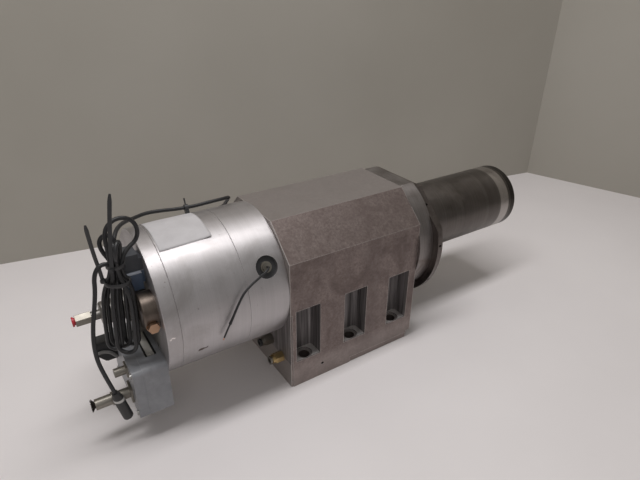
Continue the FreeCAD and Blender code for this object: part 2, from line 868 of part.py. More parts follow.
def make_spindle_shaft():
    taper_start = nose_end - taper_depth
    taper_end_radius = taper_mouth_radius - taper_depth * taper_ratio / 2
    shaft = turned([
        (shaft_rear_end, spring_chamber_radius), (shaft_rear_end, rear_bore),
        (rear_bearing_end, rear_bore), (rear_bearing_end, shaft_rear_shoulder),
        (rotor_start - 2, shaft_rear_shoulder), (rotor_start - 2, rotor_seat_radius),
        (rotor_end, rotor_seat_radius), (rotor_end, rotor_shoulder_radius),
        (rotor_end + rotor_shoulder_length, rotor_shoulder_radius),
        (rotor_end + rotor_shoulder_length, shaft_body_radius), (front_seat_start, shaft_body_radius),
        (front_seat_start, front_bore), (front_bearing_end, front_bore),
        (front_bearing_end, shaft_nose_radius), (nose_end, shaft_nose_radius),
        (nose_end, taper_mouth_radius), (taper_start, taper_end_radius),
        (taper_start, gripper_chamber_radius), (gripper_chamber_start, gripper_chamber_radius),
        (gripper_chamber_start, drawbar_radius + running_gap),
        (spring_chamber_end, drawbar_radius + running_gap), (spring_chamber_end, spring_chamber_radius)])
    slot = Part.makeBox(key_slot_depth, 2 * shaft_nose_radius, key_slot_width,
                        Vector(nose_end - key_slot_depth, -shaft_nose_radius,
                               axis_height - key_slot_width / 2))
    return shaft.cut(slot)


def make_rotor_core():
    """Rotor stack with its short-circuit rings, shrunk on the shaft."""
    ring_outer = rotor_radius - rotor_end_ring_step
    return turned([
        (rotor_start, rotor_seat_radius), (rotor_start, ring_outer),
        (rotor_start + rotor_end_ring_length, ring_outer), (rotor_start + rotor_end_ring_length, rotor_radius),
        (rotor_end - rotor_end_ring_length, rotor_radius), (rotor_end - rotor_end_ring_length, ring_outer),
        (rotor_end, ring_outer), (rotor_end, rotor_seat_radius)])


def make_locknut(start, bore, outer):
    nut = tube(start, start + locknut_width, bore, outer)
    for index in range(locknut_slots):
        slot = Part.makeBox(locknut_width, locknut_slot_width, 2 * locknut_slot_depth,
                            Vector(start, -locknut_slot_width / 2,
                                   axis_height + outer - locknut_slot_depth))
        slot.rotate(Vector(0, 0, axis_height), X_DIR, 360.0 / locknut_slots * index)
        nut = nut.cut(slot)
    return nut


def make_shaft_locknuts():
    front = make_locknut(front_bearing_start - locknut_width, front_bore, front_locknut_radius)
    rear = make_locknut(rear_bearing_start - locknut_width, rear_bore, rear_locknut_radius)
    return Part.makeCompound([front, rear])


def make_drawbar_bush():
    return tube(shaft_rear_end, shaft_rear_end + bush_length, drawbar_radius + running_gap,
                spring_chamber_radius)


def make_drawbar():
    """Rod with its spring collar, guided at both ends, and the cone that holds the fingers."""
    collar_end = collar_start + collar_length
    collar_radius = spring_chamber_radius - running_gap
    head_end = drawbar_head_start + drawbar_head_length
    return turned([
        (drawbar_rear_end, 0), (drawbar_rear_end, drawbar_radius), (collar_start, drawbar_radius),
        (collar_start, collar_radius), (collar_end, collar_radius), (collar_end, drawbar_radius),
        (gripper_chamber_start, drawbar_radius), (gripper_chamber_start, drawbar_neck_radius),
        (drawbar_head_start, drawbar_neck_radius), (drawbar_head_start + 2, drawbar_head_radius),
        (head_end - 2, drawbar_head_radius), (head_end, drawbar_head_radius - 3), (head_end, 0)])


def make_gripper_fingers():
    """Six fingers round the drawbar's neck, each with a hooked lip at its front."""
    front = drawbar_head_start
    lip = front - finger_lip_length
    sleeve = turned([
        (finger_start, finger_inner), (finger_start, finger_lip), (finger_start + 4, finger_lip),
        (finger_start + 4, finger_body), (lip, finger_body), (lip + 2, finger_lip),
        (front - 2, finger_lip), (front - 0.3, finger_body), (front - 0.3, finger_inner)])
    for index in range(finger_count // 2):
        slot = Part.makeBox(front - finger_start, 2 * finger_lip, finger_slot,
                            Vector(finger_start, -finger_lip, axis_height - finger_slot / 2))
        slot.rotate(Vector(0, 0, axis_height), X_DIR, 360.0 / finger_count * index)
        sleeve = sleeve.cut(slot)
    return Part.makeCompound(sleeve.Solids)


def make_disc_springs():
    """Stack of conical discs between the drawbar's collar and the shaft's shoulder."""
    start = collar_start + collar_length + spring_side_gap
    low = drawbar_radius + spring_side_gap
    high = spring_chamber_radius - spring_side_gap - spring_wall
    pitch = (spring_chamber_end - start) / spring_pair_count
    rising = []
    for index in range(spring_pair_count):
        rising.append((start + pitch * index, low))
        rising.append((start + pitch * (index + 0.5), high))
    rising.append((start + pitch * spring_pair_count, low))
    return turned(rising + [(x, radius + spring_wall) for x, radius in reversed(rising)])


def make_release_cylinder():
    """Cylinder behind the motor whose piston pushes the drawbar forward."""
    inside = cylinder_radius - cylinder_wall
    body = rod(cylinder_rear, motor_rear_end, cylinder_radius)
    body = body.fuse(rod(motor_rear_end, cylinder_front, bearing_rear_shoulder))
    body = body.cut(rod(cylinder_rear + cylinder_cap_length, cylinder_front - cylinder_front_wall, inside))
    return body.cut(rod(cylinder_front - cylinder_front_wall, cylinder_front,
                        piston_rod_radius + running_gap))


def make_release_piston():
    inside = cylinder_radius - cylinder_wall - running_gap
    rear = cylinder_rear + cylinder_cap_length + piston_start_gap
    disc = rod(rear, rear + piston_thickness, inside)
    return disc.fuse(rod(rear, drawbar_rear_end - piston_tip_gap, piston_rod_radius))


def make_rotary_union():
    """Stationary union on the spindle axis that feeds air through the drawbar."""
    port = tube_port_radius - 1
    return turned([
        (union_rear - union_neck_length, port), (union_rear - union_neck_length, union_neck_radius),
        (union_rear, union_neck_radius), (union_rear, union_radius - 2), (union_rear + 2, union_radius),
        (cylinder_rear - 8, union_radius), (cylinder_rear - 8, union_radius + 6),
        (cylinder_rear, union_radius + 6), (cylinder_rear, port)])


def push_in_body(hex_start, rear, mouth, neck_radius, y, z):
    """Hexagon body of a push-in fitting with its tube bore, mouth towards -X."""
    body = hexagon_bar(rear, hex_start, hex_across_flats, y, z)
    if mouth < rear:
        body = body.fuse(rod(mouth, rear, neck_radius, y, z))
    body = body.cut(rod(mouth, mouth + fitting_bore_depth, collet_sleeve_radius + running_gap, y, z))
    return body.cut(rod(mouth, hex_start, tube_port_radius - 1, y, z))


def push_in_collet(mouth, y, z):
    """Release collet: a flanged sleeve that slides into its body."""
    flange_front = mouth - collet_rest_gap
    rear = flange_front - collet_flange_length
    sleeve = rod(rear, flange_front + collet_sleeve_length, collet_sleeve_radius, y, z)
    flange = rod(rear, flange_front, collet_flange_radius, y, z)
    return sleeve.fuse(flange).cut(rod(rear, flange_front + collet_sleeve_length,
                                       tube_port_radius, y, z))


def side_fitting(place):
    y, z = place
    rear = block_rear - side_fitting_hex_length
    mouth = rear - side_fitting_neck_length
    return push_in_body(block_rear, rear, mouth, side_fitting_neck_radius, y, z)


def side_collet(place):
    y, z = place
    return push_in_collet(block_rear - side_fitting_hex_length - side_fitting_neck_length, y, z)


def make_valve_cylinder():
    y, z = valve_place
    rear = motor_rear_end - valve_length
    body = rod(rear, motor_rear_end, valve_radius, y, z)
    rim = [edge for edge in body.Edges
           if abs(edge.CenterOfMass.x - rear) < 0.01 and edge.BoundBox.YLength > valve_radius]
    body = body.makeFillet(valve_edge_round, rim)
    return body


def make_hexagon_plug():
    """Plug in the near side of the valve cylinder, pointing at -Y."""
    plug_x, plug_z = motor_rear_end - plug_inset, plug_height
    valve_y, valve_z = valve_place
    surface = valve_y - math.sqrt(valve_radius ** 2 - (valve_z - plug_z) ** 2)
    corner = plug_across_flats / math.sqrt(3)
    points = []
    for side in range(7):
        turn = math.radians(60 * side)
        points.append(Vector(plug_x + corner * math.cos(turn), surface, plug_z + corner * math.sin(turn)))
    head = Part.Face(Part.makePolygon(points)).extrude(Vector(0, -plug_head_length, 0))
    collar = Part.makeCylinder(plug_flange_radius, 2 * plug_flange_length,
                               Vector(plug_x, surface - plug_flange_length, plug_z), Y_DIR)
    stem = Part.makeCylinder(plug_flange_radius, 2 * plug_flange_radius, Vector(plug_x, surface, plug_z), Y_DIR)
    return head.fuse(collar).fuse(stem).cut(rod(motor_rear_end - 2 * valve_length, motor_rear_end,
                                                valve_radius, valve_y, valve_z))


def make_sensor_block():
    """Moulded sensor on a foot, its near face stepped."""
    front = motor_rear_end - sensor_standoff
    body = Part.makeBox(sensor_depth, sensor_width, sensor_height,
                        Vector(front - sensor_depth, sensor_side, sensor_low))
    foot = Part.makeBox(sensor_standoff, sensor_width - 2 * sensor_step, sensor_height - 2 * sensor_step,
                        Vector(front, sensor_side + sensor_step, sensor_low + sensor_step))
    step = Part.makeBox(sensor_depth, sensor_step, sensor_height,
                        Vector(front - sensor_depth, sensor_side, sensor_low + sensor_height / 2))
    return body.cut(step).fuse(foot)


def rounded_box(start, end, low_y, width, low_z, height, corner):
    box = Part.makeBox(end - start, width, height, Vector(start, low_y, low_z))
    edges = [edge for edge in box.Edges if abs(edge.tangentAt(edge.FirstParameter).x) > 0.9]
    return box.makeFillet(corner, edges)


def make_terminal_box_body():
    body = rounded_box(box_rear, motor_rear_end, box_side, box_width, box_low, box_height, box_corner)
    body = body.cut(rounded_box(box_rear, motor_rear_end - box_wall, box_side + box_wall,
                                box_width - 2 * box_wall, box_low + box_wall,
                                box_height - 2 * box_wall, box_corner - box_wall / 2))
    channel = Part.makeBox(channel_width, channel_far_end - channel_near_end, channel_depth,
                           Vector(motor_rear_end - channel_start - channel_width, channel_near_end,
                                  box_low + box_height - channel_depth))
    return body.cut(channel)


def make_terminal_box_lid():
    inset = lid_seam_step
    lid = rounded_box(lid_rear, box_rear, box_side + inset, box_width - 2 * inset,
                      box_low + inset, box_height - 2 * inset, box_corner - inset)
    hollow = rounded_box(box_rear - lid_hollow, box_rear, box_side + box_wall,
                         box_width - 2 * box_wall, box_low + box_wall,
                         box_height - 2 * box_wall, box_corner - box_wall / 2)
    return lid.cut(hollow)


def make_lid_screws():
    """Pan-head screws in the lid's corners and along its edges."""
    places = []
    for y in (box_side + lid_screw_inset, box_side + box_width - lid_screw_inset):
        for z in (box_low + lid_screw_inset, box_low + box_height - lid_screw_inset):
            places.append((y, z))
    screws = []
    for y, z in places:
        head = rod(lid_rear - lid_screw_height, lid_rear, lid_screw_radius, y, z)
        cross = Part.makeBox(lid_screw_height / 2, 2 * lid_screw_radius, 1,
                             Vector(lid_rear - lid_screw_height, y - lid_screw_radius, z - 0.5))
        screws.append(head.cut(cross))
    return Part.makeCompound(screws)


def make_slot_strip():
    """Plain metal strip with two screws, lying in the channel of the box's top."""
    floor = box_low + box_height - channel_depth
    middle_x = motor_rear_end - channel_start - channel_width / 2
    near = channel_near_end + strip_margin
    far = channel_far_end - strip_margin
    strip = Part.makeBox(strip_width, far - near, strip_thickness, Vector(middle_x - strip_width / 2, near, floor))
    for y in (near + strip_width / 2, far - strip_width / 2):
        strip = strip.fuse(Part.makeCylinder(strip_screw_radius, strip_thickness + strip_screw_height,
                                             Vector(middle_x, y, floor), Z_DIR))
    return strip


def make_terminal_strip():
    """Row of terminals inside the box."""
    middle_y = box_side + box_width / 2
    middle_z = box_low + box_height / 2
    back = motor_rear_end - box_wall
    strip = Part.makeBox(terminal_depth, terminal_width, terminal_height,
                         Vector(back - terminal_depth, middle_y - terminal_width / 2,
                                middle_z - terminal_height / 2))
    pitch = terminal_width / terminal_count
    for index in range(1, terminal_count):
        strip = strip.cut(Part.makeBox(terminal_depth / 2, terminal_slot, terminal_height,
                                       Vector(back - terminal_depth,
                                              middle_y - terminal_width / 2 + pitch * index - terminal_slot / 2,
                                              middle_z - terminal_height / 2)))
    return strip


def square_flange(size, thickness, y, z):
    return Part.makeBox(thickness, size, size, Vector(lid_rear - thickness, y - size / 2, z - size / 2))


def make_large_socket():
    y, z = connector_side, large_connector_height
    socket = square_flange(large_flange_size, large_flange_thickness, y, z)
    return socket.fuse(rod(large_barrel_rear, lid_rear - large_flange_thickness, large_barrel_radius, y, z))


def make_large_plug_nut():
    """Knurled coupling nut, free to turn on the plug's neck."""
    y, z = connector_side, large_connector_height
    nut = tube(plug_nut_rear, plug_nut_rear + plug_nut_length, plug_neck_radius + running_gap,
               plug_nut_radius, y, z)
    for index in range(12):
        turn = math.radians(30 * index)
        nut = nut.cut(rod(plug_nut_rear + 2, plug_nut_rear + plug_nut_length - 1.5, 0.8,
                          y + plug_nut_radius * math.cos(turn), z + plug_nut_radius * math.sin(turn)))
    return nut


def make_large_plug_shell():
    """Plug's barrel with the stub of its cut-off cable."""
    y, z = connector_side, large_connector_height
    neck = rod(plug_nut_rear - connector_joint_gap, large_barrel_rear, plug_neck_radius, y, z)
    barrel = rod(plug_shell_rear, plug_nut_rear - connector_joint_gap, large_barrel_radius, y, z)
    stub = rod(plug_shell_rear - plug_stub_length, plug_shell_rear, plug_stub_radius, y, z)
    return neck.fuse(barrel).fuse(stub)


def make_small_socket():
    y, z = connector_side, small_connector_height
    rear = lid_rear - small_flange_thickness - small_barrel_length
    socket = square_flange(small_flange_size, small_flange_thickness, y, z)
    socket = socket.fuse(rod(rear, lid_rear - small_flange_thickness, small_barrel_radius, y, z))
    return socket.cut(rod(rear, rear + small_socket_depth, small_socket_radius, y, z))


def make_gland_disc():
    """Black grommet in the hole of the motor's front ring."""
    disc = gland_cut(gland_hole_radius, gland_floor, gland_face)
    return disc.cut(gland_cut(nipple_radius, gland_floor, gland_face))


def make_gland_nipple():
    nipple = gland_cut(nipple_radius, gland_floor, nipple_mouth)
    nipple = nipple.fuse(gland_cut(nipple_flange_radius, gland_face, nipple_flange_top))
    return nipple.cut(gland_cut(lead_hole_radius, nipple_mouth - 6, nipple_mouth))


def make_far_gland():
    """Cable gland on the far side: hexagon, dome nut and cable hole, along +Y."""
    corner = far_gland_hex_radius
    points = []
    for side in range(7):
        turn = math.radians(60 * side)
        points.append(Vector(far_gland_x + corner * math.cos(turn), far_gland_seat,
                             axis_height + corner * math.sin(turn)))
    gland = Part.Face(Part.makePolygon(points)).extrude(Vector(0, far_gland_hex_length, 0))
    nut_start = far_gland_seat + far_gland_hex_length
    gland = gland.fuse(Part.makeCone(far_gland_nut_radius, cable_radius + 2, far_gland_nut_length + 1,
                                     Vector(far_gland_x, nut_start, axis_height), Y_DIR))
    gland = gland.fuse(Part.makeCylinder(far_gland_nut_radius, far_gland_seat - motor_bore,
                                         Vector(far_gland_x, motor_bore, axis_height), Y_DIR))
    return gland


def make_cable_clip():
    """Saddle that holds the cable on the motor's far shoulder, with its short tail."""
    before, after = [Vector(*place) for place in carried(cable_clip_leg)]
    middle = (before + after) * 0.5
    along = (after - before).normalize()
    foot_end = Vector(middle.x, middle.y, middle.z)
    radial = Vector(0, middle.y, middle.z - axis_height).normalize()
    seat = Vector(middle.x, 0, axis_height) + radial * (motor_radius + 0.3)
    start = middle - along * (clip_width / 2)
    ring = Part.makeCylinder(clip_ring_radius, clip_width, start, along)
    foot = flat_bar(seat, foot_end, clip_foot_width, clip_width, radial.cross(along))
    tail = flat_bar(middle, middle + radial * (clip_ring_radius + clip_tail_length),
                    clip_tail_width, tie_thickness, radial.cross(along))
    clip = ring.fuse(foot).fuse(tail)
    return clip.cut(Part.makeCylinder(clip_hole_radius, 3 * clip_width, middle - along * (1.5 * clip_width), along))


def hank_section(z):
    """Centre, long and short half width of the hank at a height, straight between its stated sections."""
    for low, high in zip(hank_sections, hank_sections[1:]):
        if low[0] <= z <= high[0]:
            share = (z - low[0]) / (high[0] - low[0])
            return [first + share * (last - first) for first, last in zip(low[1:], high[1:])]


def oval(z, centre_x, centre_y, half_long, half_short):
    """Upright hank section: an ellipse whose long side is turned from the spindle axis."""
    centre = Vector(centre_x, centre_y, z) + route_shift
    wire = Part.Wire(Part.Ellipse(centre, half_long, half_short).toShape())
    wire.rotate(centre, Z_DIR, hank_turn)
    return wire


def make_cable_hank():
    """Outer shape of the folded cable: narrow where it is tied, wide below."""
    return Part.makeLoft([oval(*section) for section in hank_sections], True, False)


def make_zip_tie(height, head_angle, tip):
    """Band round the hank's neck with its head, and a long tail that stands up to its tip."""
    centre_x, centre_y, half_long, half_short = hank_section(height)
    play_long = half_long + tie_play
    play_short = half_short + tie_play
    band = Part.Face(oval(height, centre_x, centre_y, play_long + tie_thickness, play_short + tie_thickness))
    hole = Part.Face(oval(height, centre_x, centre_y, play_long, play_short)).extrude(Z_DIR * tie_width)
    turn = math.radians(head_angle)
    reach = tie_thickness + tie_head_size / 2 - 1
    shift = Vector((play_long + reach) * math.cos(turn), (play_short + reach) * math.sin(turn), 0)
    centre = Vector(centre_x, centre_y, height) + route_shift
    head = Part.makeBox(tie_head_size, tie_head_size, tie_width + 1,
                        centre + shift - Vector(tie_head_size / 2, tie_head_size / 2, 0.5))
    head.rotate(centre, Z_DIR, hank_turn)
    tail_start = FreeCAD.Rotation(Z_DIR, hank_turn).multVec(shift) + centre + Z_DIR * tie_width
    wide_side = FreeCAD.Rotation(Z_DIR, hank_turn).multVec(X_DIR)
    tail = flat_bar(tail_start, tip + route_shift, tie_width, tie_thickness, wide_side)
    return band.extrude(Z_DIR * tie_width).fuse(head).cut(hole).fuse(tail)


def make_zip_ties():
    return Part.makeCompound([make_zip_tie(*tie) for tie in zip_tie_places])


def make_cable_plug():
    """Moulded round plug hanging on the cable's end, with its tapered boot."""
    before, start = [Vector(*place) for place in carried(cable_tail_route)[-2:]]
    along = (start - before).normalize()
    body_start = start + along * cable_plug_boot_length
    body_length = cable_plug_length - cable_plug_boot_length
    boot = Part.makeCone(cable_plug_boot_radius, cable_plug_radius, cable_plug_boot_length, start, along)
    body = Part.makeCylinder(cable_plug_radius, body_length, body_start, along)
    end = start + along * cable_plug_length
    rim = [edge for edge in body.Edges
           if (edge.CenterOfMass - end).Length < 0.5 and edge.Length > 3 * cable_plug_radius]
    return boot.fuse(body.makeFillet(cable_plug_round, rim))


def write_part(name, shape):
    shape.exportStep("parts/" + name + ".step")
    print(name, "solids", len(shape.Solids), "volume", round(shape.Volume), "valid", shape.isValid())


write_part("housing_block", make_housing_block())
write_part("front_flange_ring", make_front_flange_ring())
write_part("flange_disc", make_flange_disc())
write_part("flange_screws", make_flange_screws())
write_part("nose_tube", make_nose_tube())
write_part("front_bearing_cover", make_bearing_cover())
write_part("nose_cap", make_nose_cap())
write_part("nose_cap_screws", make_nose_cap_screws())
write_part("bearing_outer_rings", make_bearing_outer_rings())
write_part("bearing_inner_rings", make_bearing_inner_rings())
write_part("bearing_balls", make_bearing_balls())
write_part("bearing_cages", make_bearing_cages())
write_part("motor_front_ring", make_motor_front_ring())
write_part("motor_tube", make_motor_tube())
write_part("motor_rear_ring", make_motor_rear_ring())
write_part("cooling_sleeve", make_cooling_sleeve())
write_part("stator_core", make_stator_core())
write_part("stator_windings", make_stator_windings())
write_part("rear_bearing_housing", make_rear_bearing_housing())
write_part("rear_screws", make_rear_screws())
write_part("spindle_shaft", make_spindle_shaft())
write_part("rotor_core", make_rotor_core())
write_part("shaft_locknuts", make_shaft_locknuts())
write_part("drawbar_bush", make_drawbar_bush())
write_part("drawbar", make_drawbar())
write_part("gripper_fingers", make_gripper_fingers())
write_part("disc_springs", make_disc_springs())
write_part("release_cylinder", make_release_cylinder())
write_part("release_piston", make_release_piston())
write_part("rotary_union", make_rotary_union())
write_part("air_fitting_body", push_in_body(air_hex_start, air_hex_rear, air_hex_rear,
                                            side_fitting_neck_radius, 0.0, axis_height))
write_part("air_fitting_collet", push_in_collet(air_hex_rear, 0.0, axis_height))
write_part("brass_fitting_body", side_fitting(brass_fitting_place))
write_part("brass_fitting_collet", side_collet(brass_fitting_place))
write_part("nickel_fitting_body", side_fitting(nickel_fitting_place))
write_part("nickel_fitting_collet", side_collet(nickel_fitting_place))
write_part("valve_cylinder", make_valve_cylinder())
write_part("hexagon_plug", make_hexagon_plug())
write_part("sensor_block", make_sensor_block())
write_part("terminal_box_body", make_terminal_box_body())
write_part("terminal_box_lid", make_terminal_box_lid())
write_part("lid_screws", make_lid_screws())
write_part("slot_strip", make_slot_strip())
write_part("terminal_strip", make_terminal_strip())
write_part("large_socket", make_large_socket())
write_part("large_plug_nut", make_large_plug_nut())
write_part("large_plug_shell", make_large_plug_shell())
write_part("small_socket", make_small_socket())
write_part("gland_disc", make_gland_disc())
write_part("gland_nipple", make_gland_nipple())
write_part("far_gland", make_far_gland())
write_part("cable_clip", make_cable_clip())
write_part("zip_ties", make_zip_ties())
write_part("cable_run", cord_tube("cable_run", cable_run_route, cable_radius))
write_part("cable_loop", cord_tube("cable_loop", cable_loop_route, cable_radius))
write_part("cable_hank", make_cable_hank())
write_part("cable_tail", cord_tube("cable_tail", cable_tail_route, cable_radius))
write_part("cable_plug", make_cable_plug())
write_part("lead_wire", cord_tube("lead_wire", lead_route, lead_radius))
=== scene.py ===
import bpy
import bmesh
import math
from mathutils import Vector, Matrix


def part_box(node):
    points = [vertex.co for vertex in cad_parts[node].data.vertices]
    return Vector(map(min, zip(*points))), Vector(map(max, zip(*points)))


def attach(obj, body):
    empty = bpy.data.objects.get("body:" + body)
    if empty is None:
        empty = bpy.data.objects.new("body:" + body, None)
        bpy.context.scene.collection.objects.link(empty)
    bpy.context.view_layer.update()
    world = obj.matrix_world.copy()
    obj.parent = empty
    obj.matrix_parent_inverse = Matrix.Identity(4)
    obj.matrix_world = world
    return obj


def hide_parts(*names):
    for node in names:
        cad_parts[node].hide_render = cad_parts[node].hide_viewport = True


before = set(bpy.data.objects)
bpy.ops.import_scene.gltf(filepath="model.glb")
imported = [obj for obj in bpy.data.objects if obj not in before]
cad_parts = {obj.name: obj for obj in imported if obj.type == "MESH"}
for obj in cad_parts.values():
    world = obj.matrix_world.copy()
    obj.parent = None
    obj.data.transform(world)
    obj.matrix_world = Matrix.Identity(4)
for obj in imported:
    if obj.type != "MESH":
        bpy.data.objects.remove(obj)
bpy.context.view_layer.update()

# Camera: the view from the near left, a little above. The motor end is closest and the nose points
# away to the right. A plain lens with no shift.


def add_object(name, data):
    """Object in the scene that shows a mesh, curve, light or camera."""
    item = bpy.data.objects.new(name, data)
    bpy.context.scene.collection.objects.link(item)
    return item


def aim_camera(place, turn, tilt, roll, lens):
    """Camera at a place, turned from +Y towards +X, tilted down and rolled, all in degrees."""
    turn, tilt, roll = (math.radians(value) for value in (turn, tilt, roll))
    ahead = Vector((math.sin(turn) * math.cos(tilt), math.cos(turn) * math.cos(tilt), -math.sin(tilt)))
    right = Vector((math.cos(turn), -math.sin(turn), 0))
    down = ahead.cross(right)
    across = right * math.cos(roll) + down * math.sin(roll)
    below = down * math.cos(roll) - right * math.sin(roll)
    matrix = Matrix((across, -below, -ahead)).transposed().to_4x4()
    matrix.translation = place
    data = bpy.data.cameras.new("photo_camera")
    data.sensor_width = 36.0
    data.lens = lens
    data.clip_start = 0.01
    camera = add_object("photo_camera", data)
    camera.matrix_world = matrix
    bpy.context.scene.camera = camera


aim_camera((-0.4123, -0.6191, 0.5701), turn=33.51, tilt=27.70, roll=-0.49, lens=28.57)
bpy.context.scene.view_settings.view_transform = "Standard"

# Housing block: milled from steel, with sloping shoulders, and bolted down through its six pockets. Its
# top is smooth and grey, the shoulders and sides are stained brown, and the pocket walls are darker with
# upright mill marks.
AXIS_HEIGHT = 0.168


def new_look(name, **plain):
    """Material with one surface shader; constants go straight onto its sockets."""
    look = bpy.data.materials.new(name)
    look.use_nodes = True
    tree = look.node_tree
    tree.nodes.clear()
    output = tree.nodes.new("ShaderNodeOutputMaterial")
    shader = tree.nodes.new("ShaderNodeBsdfPrincipled")
    tree.links.new(shader.outputs[0], output.inputs["Surface"])
    for key, value in plain.items():
        shader.inputs[key.replace("_", " ")].default_value = value
    return look, tree, shader


def step(tree, kind, inputs=None, out=0, **settings):
    """Adds a node, sets it up and gives back one of its outputs."""
    item = tree.nodes.new("ShaderNode" + kind)
    for key, value in settings.items():
        setattr(item, key, value)
    for key, value in (inputs or {}).items():
        if isinstance(value, bpy.types.NodeSocket):
            tree.links.new(value, item.inputs[key])
        else:
            item.inputs[key].default_value = value
    return item.outputs[out]


def maths(tree, operation, first, second=0.0):
    return step(tree, "Math", {0: first, 1: second}, operation=operation)


def times(tree, first, second):
    return maths(tree, "MULTIPLY", first, second)


def span(tree, value, low, high, start=0.0, end=1.0):
    """Spreads a value between two limits onto another range, held at its ends."""
    return step(tree, "MapRange", {"Value": value, "From Min": low, "From Max": high,
                                   "To Min": start, "To Max": end})


def tint(tree, share, first, second):
    """Colour between two colours or sockets."""
    def full(colour):
        return colour if isinstance(colour, bpy.types.NodeSocket) else (*colour, 1)
    return step(tree, "Mix", {0: share, 6: full(first), 7: full(second)}, out=2, data_type="RGBA")


def parts_of(tree, vector=None):
    """The x, y and z of a vector, or else of the place in the piece's own coordinates."""
    item = tree.nodes.new("ShaderNodeSeparateXYZ")
    tree.links.new(vector or step(tree, "TexCoord", out=3), item.inputs[0])
    return item.outputs


def feed(tree, shader, **sockets):
    """Links values to the sockets of a surface shader."""
    for key, value in sockets.items():
        tree.links.new(value, shader.inputs[key.replace("_", " ")])


def relief(tree, shader, height, strength, distance):
    bump = step(tree, "Bump", {"Height": height, "Strength": strength, "Distance": distance})
    feed(tree, shader, Normal=bump)


def dress(look, *names):
    """Gives CAD nodes a look in place of their plain one."""
    for name in names:
        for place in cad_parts[name].material_slots:
            place.material = look


def new_effect(name, inputs, outputs):
    """Shader node group with named values going in and masks or values coming out."""
    group = bpy.data.node_groups.new(name, "ShaderNodeTree")
    for label, value in inputs.items():
        socket = group.interface.new_socket(name=label, in_out="INPUT", socket_type="NodeSocketFloat")
        socket.default_value = value
    for label in outputs:
        group.interface.new_socket(name=label, in_out="OUTPUT", socket_type="NodeSocketFloat")
    return group, group.nodes.new("NodeGroupInput").outputs, group.nodes.new("NodeGroupOutput").inputs


def effect(tree, group, out=0, **values):
    """Places a group in a material with its own values."""
    return step(tree, "Group", {key.replace("_", " "): value for key, value in values.items()}, out,
                node_tree=group)


def make_edge_wear():
    """1 on sharp outer edges, where handling has polished the surface."""
    group, given, result = new_effect("edge_wear", {"Width": 0.0006, "Low": 0.02, "High": 0.25}, ["Mask"])
    soft = step(group, "Bevel", {"Radius": given["Width"]}, samples=4)
    plain = step(group, "NewGeometry", out=1)
    dot = step(group, "VectorMath", {0: soft, 1: plain}, out=1, operation="DOT_PRODUCT")
    mask = span(group, maths(group, "SUBTRACT", 1.0, dot), given["Low"], given["High"])
    group.links.new(mask, result["Mask"])
    return group


def make_grain():
    """Blotches or streaks: noise in the piece's own coordinates, stretched along each axis."""
    group, given, result = new_effect("grain", {"Scale": 40.0, "Detail": 4.0, "Roughness": 0.55, "Warp": 0.0,
                                                "Along X": 1.0, "Along Y": 1.0, "Along Z": 1.0}, ["Cloud"])
    stretch = step(group, "CombineXYZ", {0: given["Along X"], 1: given["Along Y"], 2: given["Along Z"]})
    place = step(group, "VectorMath", {0: step(group, "TexCoord", out=3), 1: stretch}, operation="MULTIPLY")
    cloud = step(group, "TexNoise", {"Vector": place, "Scale": given["Scale"], "Detail": given["Detail"],
                                     "Roughness": given["Roughness"], "Distortion": given["Warp"]})
    group.links.new(cloud, result["Cloud"])
    return group


edge_wear = make_edge_wear()
grain = make_grain()


